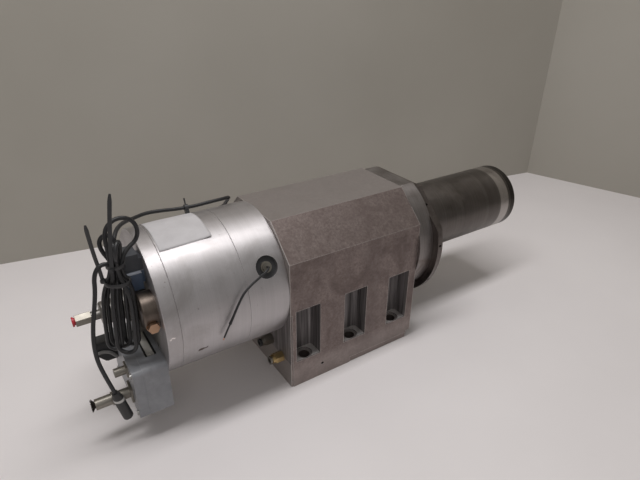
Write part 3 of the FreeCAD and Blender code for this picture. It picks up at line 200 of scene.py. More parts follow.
def block_look():
    """Steel whose top, slopes, sides and pockets are told apart by place and by the way they face."""
    top_height, foot_height, rear_face = 0.262, 0.030, -0.1196
    pocket_depth, pocket_top, pocket_floor = 0.1008, 0.139, 0.0445
    look, tree, shader = new_look("block_steel", Metallic=0.8)
    x_part, y_part, z_part = parts_of(tree)
    n_z = parts_of(tree, step(tree, "TexCoord", out=1))[2]
    level = span(tree, n_z, 0.93, 0.97)
    slope = times(tree, span(tree, n_z, 0.3, 0.5), maths(tree, "SUBTRACT", 1.0, level))
    top = times(tree, level, span(tree, z_part, top_height - 0.007, top_height))
    deep = span(tree, maths(tree, "ABSOLUTE", y_part), pocket_depth, pocket_depth + 0.0014, 1.0, 0.0)
    low = span(tree, z_part, pocket_top, pocket_top + 0.0005, 1.0, 0.0)
    pocket = times(tree, times(tree, deep, low), span(tree, z_part, pocket_floor - 0.001, pocket_floor))
    mottle = effect(tree, grain, Scale=260.0, Detail=9.0, Roughness=0.8, Warp=0.3)
    cloud = effect(tree, grain, Scale=26.0, Detail=7.0, Roughness=0.7, Warp=0.6)
    streak = effect(tree, grain, Scale=9.0, Detail=6.0, Roughness=0.65, Warp=0.3, Along_X=6.0, Along_Y=6.0)
    brown = tint(tree, span(tree, mottle, 0.36, 0.64), (0.165, 0.130, 0.120), (0.300, 0.248, 0.232))
    brown = tint(tree, span(tree, cloud, 0.44, 0.62, 0.0, 0.6), brown, (0.135, 0.102, 0.094))
    grey = tint(tree, span(tree, mottle, 0.3, 0.7), (0.320, 0.288, 0.276), (0.370, 0.336, 0.322))
    grey = tint(tree, span(tree, cloud, 0.5, 0.7, 0.0, 0.35), grey, (0.245, 0.215, 0.205))
    side = tint(tree, span(tree, streak, 0.42, 0.68, 0.0, 0.55), brown, (0.140, 0.110, 0.104))
    pale = effect(tree, grain, Scale=24.0, Detail=5.0, Roughness=0.6, Along_Z=0.6)
    side = tint(tree, span(tree, pale, 0.58, 0.74, 0.0, 0.35), side, (0.32, 0.28, 0.265))
    colour = tint(tree, slope, side, brown)
    colour = tint(tree, top, colour, grey)
    foot = span(tree, z_part, foot_height, foot_height + 0.017, 1.0, 0.0)
    colour = tint(tree, times(tree, foot, 0.35), colour, (0.44, 0.39, 0.37))
    rear = span(tree, x_part, rear_face, rear_face + 0.0011, 1.0, 0.0)
    colour = tint(tree, times(tree, rear, 0.6), colour, (0.46, 0.43, 0.41))
    upright = effect(tree, grain, Scale=260.0, Detail=3.0, Roughness=0.5, Along_Z=0.03)
    walls = tint(tree, span(tree, upright, 0.35, 0.65), (0.13, 0.120, 0.120), (0.34, 0.315, 0.315))
    ledge = tint(tree, span(tree, mottle, 0.35, 0.65), (0.55, 0.52, 0.505), (0.80, 0.77, 0.755))
    colour = tint(tree, pocket, colour, tint(tree, level, walls, ledge))
    edge = times(tree, effect(tree, edge_wear, Width=0.0018, Low=0.02, High=0.2),
                 span(tree, cloud, 0.3, 0.6, 0.45, 1.0))
    colour = tint(tree, edge, colour, (0.62, 0.59, 0.57))
    rough = maths(tree, "ADD", span(tree, cloud, 0.3, 0.7, 0.42, 0.56), times(tree, pocket, 0.14))
    feed(tree, shader, Base_Color=colour, Roughness=rough)
    mill = effect(tree, grain, Scale=420.0, Detail=3.0, Roughness=0.5, Along_Y=0.04)
    height = maths(tree, "ADD", times(tree, mottle, 0.7), times(tree, mill, 0.3))
    relief(tree, shader, height, 0.25, 0.0003)
    return look


dress(block_look(), "housing_block")

# Flange ring and cartridge disc: both are turned from steel. The ring stands in front of the block, and
# black socket screws hold the darker disc of the cartridge, which has radial holes.


def make_lathe_rings():
    """Fine rings and soft bands that a lathe leaves, on the barrel and on the end faces."""
    inputs = {"Pitch": 0.0006, "Centre Y": 0.0, "Centre Z": AXIS_HEIGHT}
    group, given, result = new_effect("lathe_rings", inputs, ["Lines", "Bands"])
    x_part, y_part, z_part = parts_of(group)
    from_y = maths(group, "SUBTRACT", y_part, given["Centre Y"])
    from_z = maths(group, "SUBTRACT", z_part, given["Centre Z"])
    square = maths(group, "ADD", times(group, from_y, from_y), times(group, from_z, from_z))
    vector = step(group, "CombineXYZ", {0: x_part, 1: maths(group, "SQRT", square), 2: 0.0})
    for label, wide, detail in (("Lines", 1.0, 3.0), ("Bands", 22.0, 2.0)):
        scale = maths(group, "DIVIDE", 1.0 / wide, given["Pitch"])
        ring = step(group, "TexNoise", {"Vector": vector, "Scale": scale, "Detail": detail, "Roughness": 0.6})
        group.links.new(ring, result[label])
    return group


lathe_rings = make_lathe_rings()


def turned_look(name, bright, dull, rough, depth=0.25, pitch=0.0006, centre=(0.0, AXIS_HEIGHT), stain=None):
    """Turned metal: fine rings, soft bands, faint blotches and bright edges."""
    look, tree, shader = new_look(name, Metallic=1.0)
    lines, bands = (effect(tree, lathe_rings, out, Pitch=pitch, Centre_Y=centre[0], Centre_Z=centre[1])
                    for out in ("Lines", "Bands"))
    blotch = effect(tree, grain, Scale=38.0, Detail=5.0, Roughness=0.6, Warp=0.4)
    share = maths(tree, "ADD", times(tree, lines, 0.45),
                  maths(tree, "ADD", times(tree, bands, 0.25), times(tree, blotch, 0.3)))
    colour = tint(tree, span(tree, share, 0.36, 0.62), dull, bright)
    if stain:
        cloud = effect(tree, grain, Scale=15.0, Detail=6.0, Roughness=0.7, Warp=0.8)
        colour = tint(tree, span(tree, cloud, 0.56, 0.72, 0.0, 0.7), colour, stain)
    polished = [min(1, value * 1.4) for value in bright]
    colour = tint(tree, effect(tree, edge_wear, Width=0.0006), colour, polished)
    feed(tree, shader, Base_Color=colour, Roughness=span(tree, blotch, 0.3, 0.7, rough - 0.07, rough + 0.09))
    relief(tree, shader, lines, depth, 0.0002)
    return look


def moulded_look(name, colour, rough, metallic=0.0, fine=900.0, depth=0.12, dust=0.25):
    """Plastic, paint or plating: slight grain, uneven gloss, a little dust and paler edges."""
    look, tree, shader = new_look(name, Metallic=metallic)
    cloud = effect(tree, grain, Scale=60.0, Detail=5.0, Roughness=0.6)
    settled = effect(tree, grain, Scale=22.0, Detail=6.0, Roughness=0.7, Warp=0.5)
    pale = [value + (0.55 - value) * dust * 0.35 for value in colour]
    base = tint(tree, span(tree, cloud, 0.35, 0.65), [value * 0.82 for value in colour], colour)
    base = tint(tree, span(tree, settled, 0.5, 0.75, 0.0, dust), base, pale)
    base = tint(tree, times(tree, effect(tree, edge_wear, Width=0.0005), 0.5), base, pale)
    feed(tree, shader, Base_Color=base, Roughness=span(tree, cloud, 0.3, 0.7, rough - 0.06, rough + 0.08))
    relief(tree, shader, effect(tree, grain, Scale=fine, Detail=3.0), depth, 0.0001)
    return look


dress(turned_look("flange_ring_steel", (0.33, 0.308, 0.30), (0.20, 0.178, 0.17), 0.42, 0.3,
                  stain=(0.17, 0.13, 0.11)), "front_flange_ring")
dress(turned_look("disc_steel", (0.20, 0.175, 0.165), (0.09, 0.078, 0.072), 0.36, 0.3,
                  stain=(0.28, 0.25, 0.235)), "flange_disc")
dress(moulded_look("screw_black", (0.06, 0.058, 0.055), 0.38, metallic=0.7, dust=0.15),
      "flange_screws", "nose_cap_screws", "rear_screws")

# Nose: long turned tube of dark grey-brown steel, a bright bearing cover with dark borders and a black
# end cap held by screws. The hollow steel shaft shows inside it, with the drawbar and its six fingers.
dress(turned_look("nose_steel", (0.175, 0.158, 0.148), (0.110, 0.098, 0.090), 0.36, 0.1,
                  stain=(0.21, 0.19, 0.175)), "nose_tube")


def cover_look():
    """Ground steel ring, darkened along both of its borders."""
    look, tree, shader = new_look("cover_steel", Metallic=1.0)
    x_part = parts_of(tree)[0]
    lines = effect(tree, lathe_rings, Pitch=0.0005)
    rear_border = span(tree, x_part, 0.3745, 0.3775, 1.0, 0.0)
    front_border = span(tree, x_part, 0.397, 0.3995)
    border = maths(tree, "MAXIMUM", rear_border, front_border)
    colour = tint(tree, span(tree, lines, 0.35, 0.65), (0.36, 0.335, 0.32), (0.52, 0.49, 0.47))
    colour = tint(tree, times(tree, border, 0.85), colour, (0.10, 0.09, 0.082))
    cloud = effect(tree, grain, Scale=25.0, Detail=5.0, Roughness=0.6, Warp=0.5)
    colour = tint(tree, span(tree, cloud, 0.5, 0.72, 0.0, 0.6), colour, (0.19, 0.17, 0.158))
    feed(tree, shader, Base_Color=colour, Roughness=span(tree, lines, 0.3, 0.7, 0.26, 0.36))
    relief(tree, shader, lines, 0.2, 0.0002)
    return look


dress(cover_look(), "front_bearing_cover")
dress(turned_look("cap_black", (0.075, 0.068, 0.062), (0.035, 0.031, 0.028), 0.36, 0.2), "nose_cap")
dress(turned_look("shaft_steel", (0.66, 0.65, 0.64), (0.42, 0.41, 0.40), 0.28, 0.2),
      "spindle_shaft", "shaft_locknuts", "drawbar", "release_piston")
dress(turned_look("finger_steel", (0.42, 0.41, 0.42), (0.24, 0.23, 0.24), 0.3, 0.15), "gripper_fingers")

# Inside the housing: bearings, motor stator and rotor, cooling sleeve, springs and bush. All of it
# stays hidden unless the housing is cut open.
dress(turned_look("bearing_steel", (0.75, 0.75, 0.75), (0.55, 0.55, 0.55), 0.15, 0.1),
      "bearing_outer_rings", "bearing_inner_rings", "bearing_balls")
dress(moulded_look("cage_polymer", (0.55, 0.40, 0.22), 0.5), "bearing_cages")
dress(turned_look("sleeve_aluminium", (0.70, 0.70, 0.70), (0.50, 0.50, 0.50), 0.4, 0.3), "cooling_sleeve")
dress(turned_look("core_laminations", (0.36, 0.36, 0.37), (0.20, 0.20, 0.21), 0.5, 0.5, 0.0005),
      "stator_core", "rotor_core")
dress(moulded_look("winding_resin", (0.45, 0.17, 0.07), 0.35, fine=400.0, depth=0.5), "stator_windings")
dress(turned_look("spring_steel", (0.34, 0.33, 0.32), (0.2, 0.19, 0.18), 0.35, 0.2), "disc_springs")

# Motor housing: three turned aluminium rings with fine seams. The barrel has soft grey smudges, a few
# dark specks, and two slanting scratches on its near side.


def motor_look():
    look, tree, shader = new_look("motor_aluminium", Metallic=1.0)
    x_part, y_part, z_part = parts_of(tree)
    lines, bands = (effect(tree, lathe_rings, out, Pitch=0.0005) for out in ("Lines", "Bands"))
    smudge = effect(tree, grain, Scale=16.0, Detail=6.0, Roughness=0.62, Warp=0.7)
    wipe = effect(tree, grain, Scale=26.0, Detail=5.0, Roughness=0.6, Warp=0.4, Along_X=0.35)
    colour = tint(tree, span(tree, lines, 0.35, 0.65), (0.43, 0.41, 0.415), (0.56, 0.54, 0.545))
    colour = tint(tree, span(tree, bands, 0.4, 0.7, 0.0, 0.35), colour, (0.40, 0.38, 0.38))
    colour = tint(tree, span(tree, smudge, 0.50, 0.74, 0.0, 0.6), colour, (0.32, 0.297, 0.288))
    speck = effect(tree, grain, Scale=190.0, Detail=5.0, Roughness=0.7)
    colour = tint(tree, span(tree, speck, 0.655, 0.72, 0.0, 0.75), colour, (0.20, 0.17, 0.16))
    near = span(tree, y_part, -0.085, -0.08, 1.0, 0.0)
    ragged = span(tree, effect(tree, grain, Scale=300.0, Detail=4.0), 0.3, 0.7, -0.0013, 0.0013)
    scratches = ((-0.2565, -0.2415, 0.1300, 0.06, 0.0012, (0.10, 0.075, 0.065)),
                 (-0.2925, -0.2835, 0.1672, 0.15, 0.0005, (0.85, 0.80, 0.78)))
    for start, end, height, lean, thick, shade in scratches:
        line = maths(tree, "ADD", maths(tree, "SUBTRACT", z_part, height), ragged)
        line = maths(tree, "SUBTRACT", line, times(tree, maths(tree, "SUBTRACT", x_part, start), lean))
        stripe = span(tree, maths(tree, "ABSOLUTE", line), thick, thick * 2, 1.0, 0.0)
        patch = times(tree, span(tree, x_part, start, start + 0.002),
                      span(tree, x_part, end - 0.002, end, 1.0, 0.0))
        colour = tint(tree, times(tree, times(tree, stripe, patch), near), colour, shade)
    colour = tint(tree, effect(tree, edge_wear, Width=0.0008), colour, (0.85, 0.84, 0.84))
    gloss = maths(tree, "ADD", wipe, times(tree, lines, 0.3))
    feed(tree, shader, Base_Color=colour, Roughness=span(tree, gloss, 0.45, 0.85, 0.42, 0.54))
    relief(tree, shader, lines, 0.3, 0.0002)
    return look


dress(motor_look(), "motor_front_ring", "motor_tube", "motor_rear_ring")
dress(turned_look("rear_cover_steel", (0.50, 0.48, 0.455), (0.30, 0.285, 0.27), 0.36), "rear_bearing_housing")

# Label: a plain white paper label with nothing printed on it, stuck over the top of the motor. One
# corner has lifted a little.
LABEL_RADIUS = 0.1033
PAPER_THICKNESS = 0.0002


def make_label(start, end, low_angle, high_angle):
    """Curved sheet of paper on the barrel, its near front corner lifted."""
    bm = bmesh.new()
    columns, rows = 28, 20
    skew, corner_size, corner_lift, ripple, edge_wave = 1.6, 0.22, 0.0022, 0.00012, 0.0006
    points = []
    for column in range(columns + 1):
        across = column / columns
        line = []
        for row in range(rows + 1):
            up = row / rows
            angle = math.radians(low_angle + up * (high_angle - low_angle) + skew * (across - 0.5))
            corner = max(0.0, 1 - math.hypot(1 - across, up) / corner_size)
            lift = LABEL_RADIUS + corner_lift * corner ** 2 + ripple * math.sin(9 * across + 5 * up)
            x = start + across * (end - start) + edge_wave * math.sin(3 * up)
            line.append(bm.verts.new((x, -lift * math.cos(angle), AXIS_HEIGHT + lift * math.sin(angle))))
        points.append(line)
    for first, second in zip(points, points[1:]):
        for row in range(rows):
            bm.faces.new((first[row], first[row + 1], second[row + 1], second[row]))
    bmesh.ops.recalc_face_normals(bm, faces=bm.faces)
    mesh = bpy.data.meshes.new("paper_label")
    bm.to_mesh(mesh)
    bm.free()
    label = add_object("paper_label", mesh)
    for face in mesh.polygons:
        face.use_smooth = True
    solid = label.modifiers.new("paper", "SOLIDIFY")
    solid.thickness = PAPER_THICKNESS
    solid.offset = 0
    return label


def paper_look():
    look, tree, shader = new_look("label_paper", Metallic=0.0)
    cloud = effect(tree, grain, Scale=45.0, Detail=5.0, Roughness=0.6)
    soiled = effect(tree, grain, Scale=25.0, Detail=6.0, Roughness=0.7)
    colour = tint(tree, span(tree, cloud, 0.35, 0.65), (0.47, 0.455, 0.465), (0.53, 0.515, 0.525))
    colour = tint(tree, span(tree, soiled, 0.60, 0.8, 0.0, 0.4), colour, (0.38, 0.355, 0.35))
    feed(tree, shader, Base_Color=colour, Roughness=span(tree, cloud, 0.3, 0.7, 0.50, 0.62))
    relief(tree, shader, effect(tree, grain, Scale=1500.0, Detail=3.0), 0.1, 0.0001)
    return look


label = make_label(start=-0.2736, end=-0.2030, low_angle=64.0, high_angle=113.0)
label.data.materials.append(paper_look())
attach(label, "housing")

# Rear of the motor: release cylinder, rotary union with its push-in fitting and red collet, the dull
# bronze valve cylinder with its copper-coloured hexagon plug, and the dark sensor block with a blue lower
# half. Fittings and plug are screwed in.
dress(turned_look("cylinder_aluminium", (0.30, 0.285, 0.27), (0.17, 0.16, 0.15), 0.44),
      "release_cylinder", "rotary_union")
nickel_look = moulded_look("nickel_plate", (0.30, 0.28, 0.245), 0.42, metallic=1.0, depth=0.05, dust=0.2)
dress(nickel_look, "air_fitting_body", "nickel_fitting_body", "brass_fitting_collet")
dress(moulded_look("dull_brass", (0.55, 0.41, 0.20), 0.30, metallic=1.0, depth=0.08, dust=0.2),
      "brass_fitting_body", "drawbar_bush")
dress(moulded_look("plug_copper", (0.42, 0.27, 0.18), 0.34, metallic=1.0, depth=0.1), "hexagon_plug")
dress(turned_look("valve_bronze", (0.20, 0.165, 0.140), (0.10, 0.082, 0.070), 0.40, 0.3,
                  centre=(-0.0595, 0.193), stain=(0.12, 0.10, 0.085)), "valve_cylinder")
dress(moulded_look("collet_red", (0.50, 0.02, 0.035), 0.30, dust=0.1), "air_fitting_collet")
black_plastic = moulded_look("black_plastic", (0.03, 0.03, 0.032), 0.42)


def sensor_look():
    """Dark moulded sensor; a pale joint line runs above its dull blue lower half."""
    joint_height = 0.2385
    look, tree, shader = new_look("sensor_plastic", Metallic=0.0)
    z_part = parts_of(tree)[2]
    cloud = effect(tree, grain, Scale=80.0, Detail=5.0, Roughness=0.6)
    dark = tint(tree, cloud, (0.030, 0.033, 0.040), (0.075, 0.08, 0.09))
    blue = tint(tree, cloud, (0.045, 0.07, 0.12), (0.09, 0.13, 0.20))
    colour = tint(tree, span(tree, z_part, joint_height - 0.001, joint_height + 0.0005), blue, dark)
    from_joint = maths(tree, "ABSOLUTE", maths(tree, "SUBTRACT", z_part, joint_height))
    joint = span(tree, from_joint, 0.0004, 0.0009, 0.6, 0.0)
    feed(tree, shader, Base_Color=tint(tree, joint, colour, (0.40, 0.42, 0.46)),
         Roughness=span(tree, cloud, 0.3, 0.7, 0.38, 0.52))
    relief(tree, shader, effect(tree, grain, Scale=900.0, Detail=3.0), 0.15, 0.0001)
    return look


dress(sensor_look(), "sensor_block")
dress(black_plastic, "nickel_fitting_collet", "cable_clip", "gland_disc")
dress(nickel_look, "gland_nipple", "far_gland")

# Terminal box: die-cast, in satin blue-grey paint, its lid held by corner screws. A zinc strip lies in the
# channel of its top, whose floor is painted near black as shade in the grooves beside the strip.


def box_look():
    look, tree, shader = new_look("box_paint", Metallic=0.0)
    x_part, y_part, z_part = parts_of(tree)
    cloud = effect(tree, grain, Scale=40.0, Detail=5.0, Roughness=0.6, Warp=0.3)
    colour = tint(tree, span(tree, cloud, 0.35, 0.65), (0.215, 0.220, 0.236), (0.280, 0.286, 0.304))
    dirt = effect(tree, grain, Scale=18.0, Detail=7.0, Roughness=0.7, Warp=0.6)
    colour = tint(tree, span(tree, dirt, 0.54, 0.72, 0.0, 0.55), colour, (0.15, 0.147, 0.150))
    edge = times(tree, effect(tree, edge_wear, Width=0.001, Low=0.03, High=0.3),
                 span(tree, effect(tree, grain, Scale=150.0, Detail=5.0), 0.4, 0.6, 0.1, 0.7))
    colour = tint(tree, edge, colour, (0.38, 0.38, 0.39))
    # Painted shade: the floor of the channel in the top is painted near black for the shade in the grooves
    # beside the zinc strip.
    upright = times(tree, span(tree, z_part, 0.1172, 0.1182, 1.0, 0.0), span(tree, z_part, 0.1155, 0.116))
    along = times(tree, span(tree, x_part, -0.3165, -0.316), span(tree, x_part, -0.3005, -0.300, 1.0, 0.0))
    channel_shade = times(tree, times(tree, upright, along), span(tree, y_part, -0.060, -0.0595))
    colour = tint(tree, channel_shade, colour, (0.02, 0.02, 0.02))
    feed(tree, shader, Base_Color=colour, Roughness=span(tree, cloud, 0.3, 0.7, 0.36, 0.50))
    relief(tree, shader, effect(tree, grain, Scale=700.0, Detail=3.0), 0.25, 0.0002)
    return look


dress(box_look(), "terminal_box_body", "terminal_box_lid")
dress(moulded_look("zinc_plate", (0.50, 0.49, 0.47), 0.34, metallic=1.0, depth=0.1), "lid_screws")
dress(moulded_look("dull_zinc", (0.58, 0.56, 0.52), 0.5, metallic=0.2, depth=0.1), "slot_strip")
dress(moulded_look("terminal_plastic", (0.60, 0.57, 0.48), 0.5), "terminal_strip")

# Round connectors on the lid: nickel-plated shells. The large plug's cable was cut off, and its frayed
# shield wires stand out all round the stub.
dress(nickel_look, "large_socket", "large_plug_nut", "large_plug_shell", "small_socket")
STUB_RADIUS = 0.0042
BRAID_WIRES = 170
WIRE_RADIUS = 0.00026
GOLDEN_TURN = 2.399963
GOLDEN_SHARE = 0.618


def new_wires(name, radius, roundness, steps=12):
    """Empty curve for round wires; steps is the number of pieces between two of their points."""
    data = bpy.data.curves.new(name, "CURVE")
    data.dimensions = "3D"
    data.bevel_depth = radius
    data.bevel_resolution = roundness
    data.resolution_u = steps
    return data


def add_wire(data, points):
    """NURBS line that starts and ends at the outer ones of its control points."""
    spline = data.splines.new("NURBS")
    spline.points.add(len(points) - 1)
    for target, point in zip(spline.points, points):
        target.co = (*point, 1)
    spline.order_u = 3
    spline.use_endpoint_u = True


def make_braid(centre_y, centre_z, front, rear):
    """Shield wires that lie along the stub, then bend outwards past its end."""
    data = new_wires("cut_braid", WIRE_RADIUS, roundness=1, steps=4)
    for index in range(BRAID_WIRES):
        turn = index * GOLDEN_TURN
        reach = (front - rear) * (0.80 + 0.35 * math.sin(index * 1.7) ** 2)
        flare = 0.0016 + 0.0036 * (0.5 + 0.5 * math.sin(index * 2.3))
        inner = STUB_RADIUS * (0.25 + 0.80 * ((index * GOLDEN_SHARE) % 1.0) ** 0.5)
        points = []
        for share in (0.0, 0.45, 0.8, 1.0):
            out = inner + flare * share ** 2.2
            bend = turn + 0.35 * share * math.sin(index)
            across, up = out * math.cos(bend), out * math.sin(bend)
            points.append((front - reach * share, centre_y + across, centre_z + up))
        add_wire(data, points)
    return add_object("cut_braid", data)


stub_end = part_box("large_plug_shell")[0][0]
braid = make_braid(centre_y=-0.050, centre_z=0.066, front=stub_end + 0.0060, rear=stub_end + 0.0005)
braid.data.materials.append(moulded_look("braid_wire", (0.10, 0.088, 0.08), 0.42, metallic=0.9, dust=0.1))
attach(braid, "housing")

# Connector hood on the far part of the lid: black moulding with rounded edges and a bent grey locking
# bow over its near side.


def joined_mesh(name, bm, look, smooth_angle=35):
    """Object from a bmesh, shaded smooth where its faces meet gently."""
    mesh = bpy.data.meshes.new(name)
    bmesh.ops.recalc_face_normals(bm, faces=bm.faces)
    bm.to_mesh(mesh)
    bm.free()
    mesh.materials.append(look)
    piece = add_object(name, mesh)
    for face in mesh.polygons:
        face.use_smooth = True
    mesh.set_sharp_from_angle(angle=math.radians(smooth_angle))
    return piece


def skin_rings(bm, rings, closed=False):
    """Faces from ring to ring, with a lid on both ends unless the last ring meets the first."""
    for first, second in zip(rings, rings[1:] + rings[:1] if closed else rings[1:]):
        for corner in range(len(first)):
            after = (corner + 1) % len(first)
            bm.faces.new((first[corner], first[after], second[after], second[corner]))
    if not closed:
        bm.faces.new(rings[0])
        bm.faces.new(list(reversed(rings[-1])))


def sweep_strip(bm, line, sides, half_width, half_thickness, closed=False, taper=6.0):
    """Flat strip along a line, as wide as given along the side at each point; an open end narrows."""
    corners = [(-1, -0.6), (-0.8, -1), (0.8, -1), (1, -0.6), (1, 0.6), (0.8, 1), (-0.8, 1), (-1, 0.6)]
    rings = []
    count = len(line)
    for index, point in enumerate(line):
        before = line[index - 1] if index or closed else point
        after = line[(index + 1) % count] if index < count - 1 or closed else point
        along = (after - before).normalized()
        across = (sides[index] - along * sides[index].dot(along)).normalized()
        out = along.cross(across)
        share = 1.0 if closed else min(1.0, 0.45 + taper * (1 - index / (count - 1)))
        rings.append([bm.verts.new(point + across * (half_width * share * a) + out * (half_thickness * b))
                      for a, b in corners])
    skin_rings(bm, rings, closed)


def smooth_line(points, count):
    """Points along a soft curve through the given places."""
    line = []
    last = len(points) - 1
    for index in range(count + 1):
        place = index / count * last
        low = min(int(place), last - 1)
        share = place - low
        before, first = points[max(low - 1, 0)], points[low]
        second, after = points[low + 1], points[min(low + 2, last)]
        line.append(0.5 * (2 * first + (second - before) * share
                           + (2 * before - 5 * first + 4 * second - after) * share ** 2
                           + (3 * first - before - 3 * second + after) * share ** 3))
    return line


def millimetres(points):
    return [Vector(point) / 1000 for point in points]


def make_hood():
    """Upright block with its low rear corner cut off and all of its edges rounded."""
    near_face, far_face, edge_radius = 0.0030, 0.0245, 0.0014
    outline = ((-340, 86), (-340, 119), (-366, 119), (-367.5, 117), (-367.5, 100), (-356, 86))
    bm = bmesh.new()
    near, far = ([bm.verts.new((x / 1000, y, z / 1000)) for x, z in outline] for y in (near_face, far_face))
    bm.faces.new(near)
    bm.faces.new(list(reversed(far)))
    for index in range(len(outline)):
        after = (index + 1) % len(outline)
        bm.faces.new((near[index], far[index], far[after], near[after]))
    bmesh.ops.bevel(bm, geom=list(bm.edges), offset=edge_radius, segments=3, affect="EDGES")
    return joined_mesh("connector_hood", bm, black_plastic)


def make_bow():
    """Flat bar bent round the hood's rear and down over its near face."""
    half_width, half_thickness = 0.0024, 0.0008
    line = smooth_line(millimetres(((-368.6, 10, 104), (-366, 2.2, 105), (-359, 1.6, 105.5), (-351, 1.6, 102),
                                    (-345, 1.6, 95), (-341.5, 2.0, 88.5))), 36)
    bm = bmesh.new()
    sweep_strip(bm, line, [Vector((0.25, 0.1, 1.0))] * len(line), half_width, half_thickness, taper=99.0)
    return joined_mesh("hood_bow", bm, moulded_look("bow_grey", (0.30, 0.295, 0.29), 0.4, metallic=0.6))


for piece in (make_hood(), make_bow()):
    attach(piece, "housing")

# Sensor cable: one limp black cable, 5.2 mm thick. It leaves the gland behind the motor and runs over
# the top, and its spare length is folded into a hank that two ties hold. Its end hangs with a plug.
CABLE_RADIUS = 0.0026
NECK_HEIGHT = 260
NECK_U = Vector((0.834, -0.552, 0))
NECK_V = Vector((0.552, 0.834, 0))
HANK_LINE = ((130, -337.5, -53), (158, -336.5, -53.5), (192, -334, -54.5), (220, -332, -55.5),
             (234, -330.5, -56), (246, -329.5, -56.5), (268, -328.5, -57), (310, -328, -57))


def nurbs_cord(name, points, radius):
    """Open NURBS tube whose control points are the given places."""
    data = new_wires(name, radius, roundness=5, steps=6)
    data.use_fill_caps = True
    add_wire(data, points)
    return add_object(name, data)


def cord_line(cord):
    """Points of the cord's centreline, read from its own curve without the bevel."""
    depth = cord.data.bevel_depth
    cord.data.bevel_depth = 0
    mesh = bpy.data.meshes.new_from_object(cord)
    cord.data.bevel_depth = depth
    points = [vertex.co.copy() for vertex in mesh.vertices]
    bpy.data.meshes.remove(mesh)
    return points


def line_length(points):
    return sum((second - first).length for first, second in zip(points, points[1:]))


def hank_place(u, v, z):
    """Point in metres for a place across the hank and a height; HANK_LINE has z, x, y of its middle."""
    for low, high in zip(HANK_LINE, HANK_LINE[1:]):
        if low[0] <= z <= high[0]:
            share = (z - low[0]) / (high[0] - low[0])
            centre = Vector((low[1] + share * (high[1] - low[1]), low[2] + share * (high[2] - low[2]), z))
    return (centre + NECK_U * u + NECK_V * v) / 1000


LEGS = {
    "A": ((-1.2, 5.9), (-1.1, 8.3), -0.4), "C": ((6.0, -0.1), (16.4, 8.3), 0.6),
    "B": ((-5.5, -2.5), (-19.1, -2.8), -0.8), "D": ((0.0, 0.0), (-1.5, -2.8), 0.3),
    "E": ((-5.3, 2.7), (-15.9, 2.8), -0.3), "G": ((3.9, 4.6), (7.4, 2.8), 0.6),
    "F": ((3.6, -4.8), (18.5, -8.3), 0.5), "T": ((-1.4, -5.8), (-4.8, -8.3), -0.6),
}


def hank_leg(name, top, bottom):
    """Strand from the tied neck into the wide belly; LEGS has its place in both, and its sway."""
    neck, belly, sway = LEGS[name]
    places = []
    for share, z in ((0, top), (0.22, 247), (0.62, 234), (0.92, 218), (1.02, 198), (1.03, 178), (1, bottom)):
        u = neck[0] + share * (belly[0] - neck[0]) + sway * math.sin(math.pi * share)
        v = neck[1] + share * (belly[1] - neck[1])
        places.append(hank_place(u, v, z))
    return places


def hank_turn(first, second, bottom):
    """Strand down, a round fold at the bottom of the hank, and the next strand up to its neck."""
    start, end = LEGS[first][1][0], LEGS[second][1][0]
    layer = (LEGS[first][1][1] + LEGS[second][1][1]) / 2
    middle, half = (start + end) / 2, 1.04 * (end - start) / 2
    fold = [hank_place(middle - half * math.cos(turn), layer, bottom - abs(half) * math.sin(turn))
            for turn in (math.radians(angle) for angle in (4, 45, 90, 135, 176))]
    down, up = (hank_leg(name, NECK_HEIGHT, bottom + 8) for name in (first, second))
    return down + fold + up[::-1]


def neck_loop(places):
    return [hank_place(*place) for place in places]


cable_run_route = [
    (-147, 122, 168), (-147, 138, 168), (-144.5, 152, 180), (-140, 152, 198), (-134, 136, 213),
    (-129.5, 112, 226), (-129, 88, 239.8), (-130, 66.8, 259.4), (-135, 50, 269.2), (-149, 41.5, 272.5),
    (-171, 39.5, 273), (-194, 39.5, 272), (-218, 40, 273), (-243, 41, 276), (-264, 39, 278), (-282, 29, 279),
    (-296, 12, 285), (-309, -9, 290), (-318, -27, 289.5), (-324, -41, 283), (-327, -49, 274),
]
cable_loop_route = [
    (-333.6, -57, 273), (-333.6, -54.5, 284), (-333.8, -53, 295.5), (-331.5, -51.5, 309.5),
    (-321.2, -50.5, 318.5), (-307.8, -49.5, 318.5), (-297.5, -49, 309.5), (-295.2, -49, 295.5),
    (-300.2, -50, 285.3), (-309, -51.5, 280.6), (-318, -55, 273.5),
]
cable_tail_route = [
    (-333.6, -61, 257), (-334.6, -61.8, 266), (-339.5, -62.3, 272), (-347, -62.7, 271.5), (-352.5, -63, 265),
    (-355.5, -63.2, 256), (-356.5, -63.5, 246), (-359, -64, 233), (-363, -65, 217), (-368.5, -66, 197),
    (-373, -68, 170.5), (-373, -70, 145), (-367.5, -71, 115), (-362.5, -71, 91),
]
cable_points = millimetres(cable_run_route)
cable_points += hank_turn("A", "C", 150)
cable_points += millimetres(cable_loop_route)[::-1]
cable_points += hank_turn("B", "D", 151)
cable_points += neck_loop(((1, 1, 272), (4, 2, 283), (4, 3, 294), (-3, 3.5, 302), (-12, 4, 300),
                           (-17, 4, 290), (-14, 3.5, 279), (-8, 3, 270)))
cable_points += hank_turn("E", "G", 153)
cable_points += neck_loop(((4, 4, 272), (7, 4, 284), (9, 0, 295), (10, -8, 299), (10, -15.5, 293),
                           (9, -16, 282), (6, -9, 272)))
cable_points += hank_turn("F", "T", 152)[:-2]
cable_points += millimetres(cable_tail_route)
cable = nurbs_cord("sensor_cable", cable_points, CABLE_RADIUS)
cable_length = line_length(cord_line(cable))


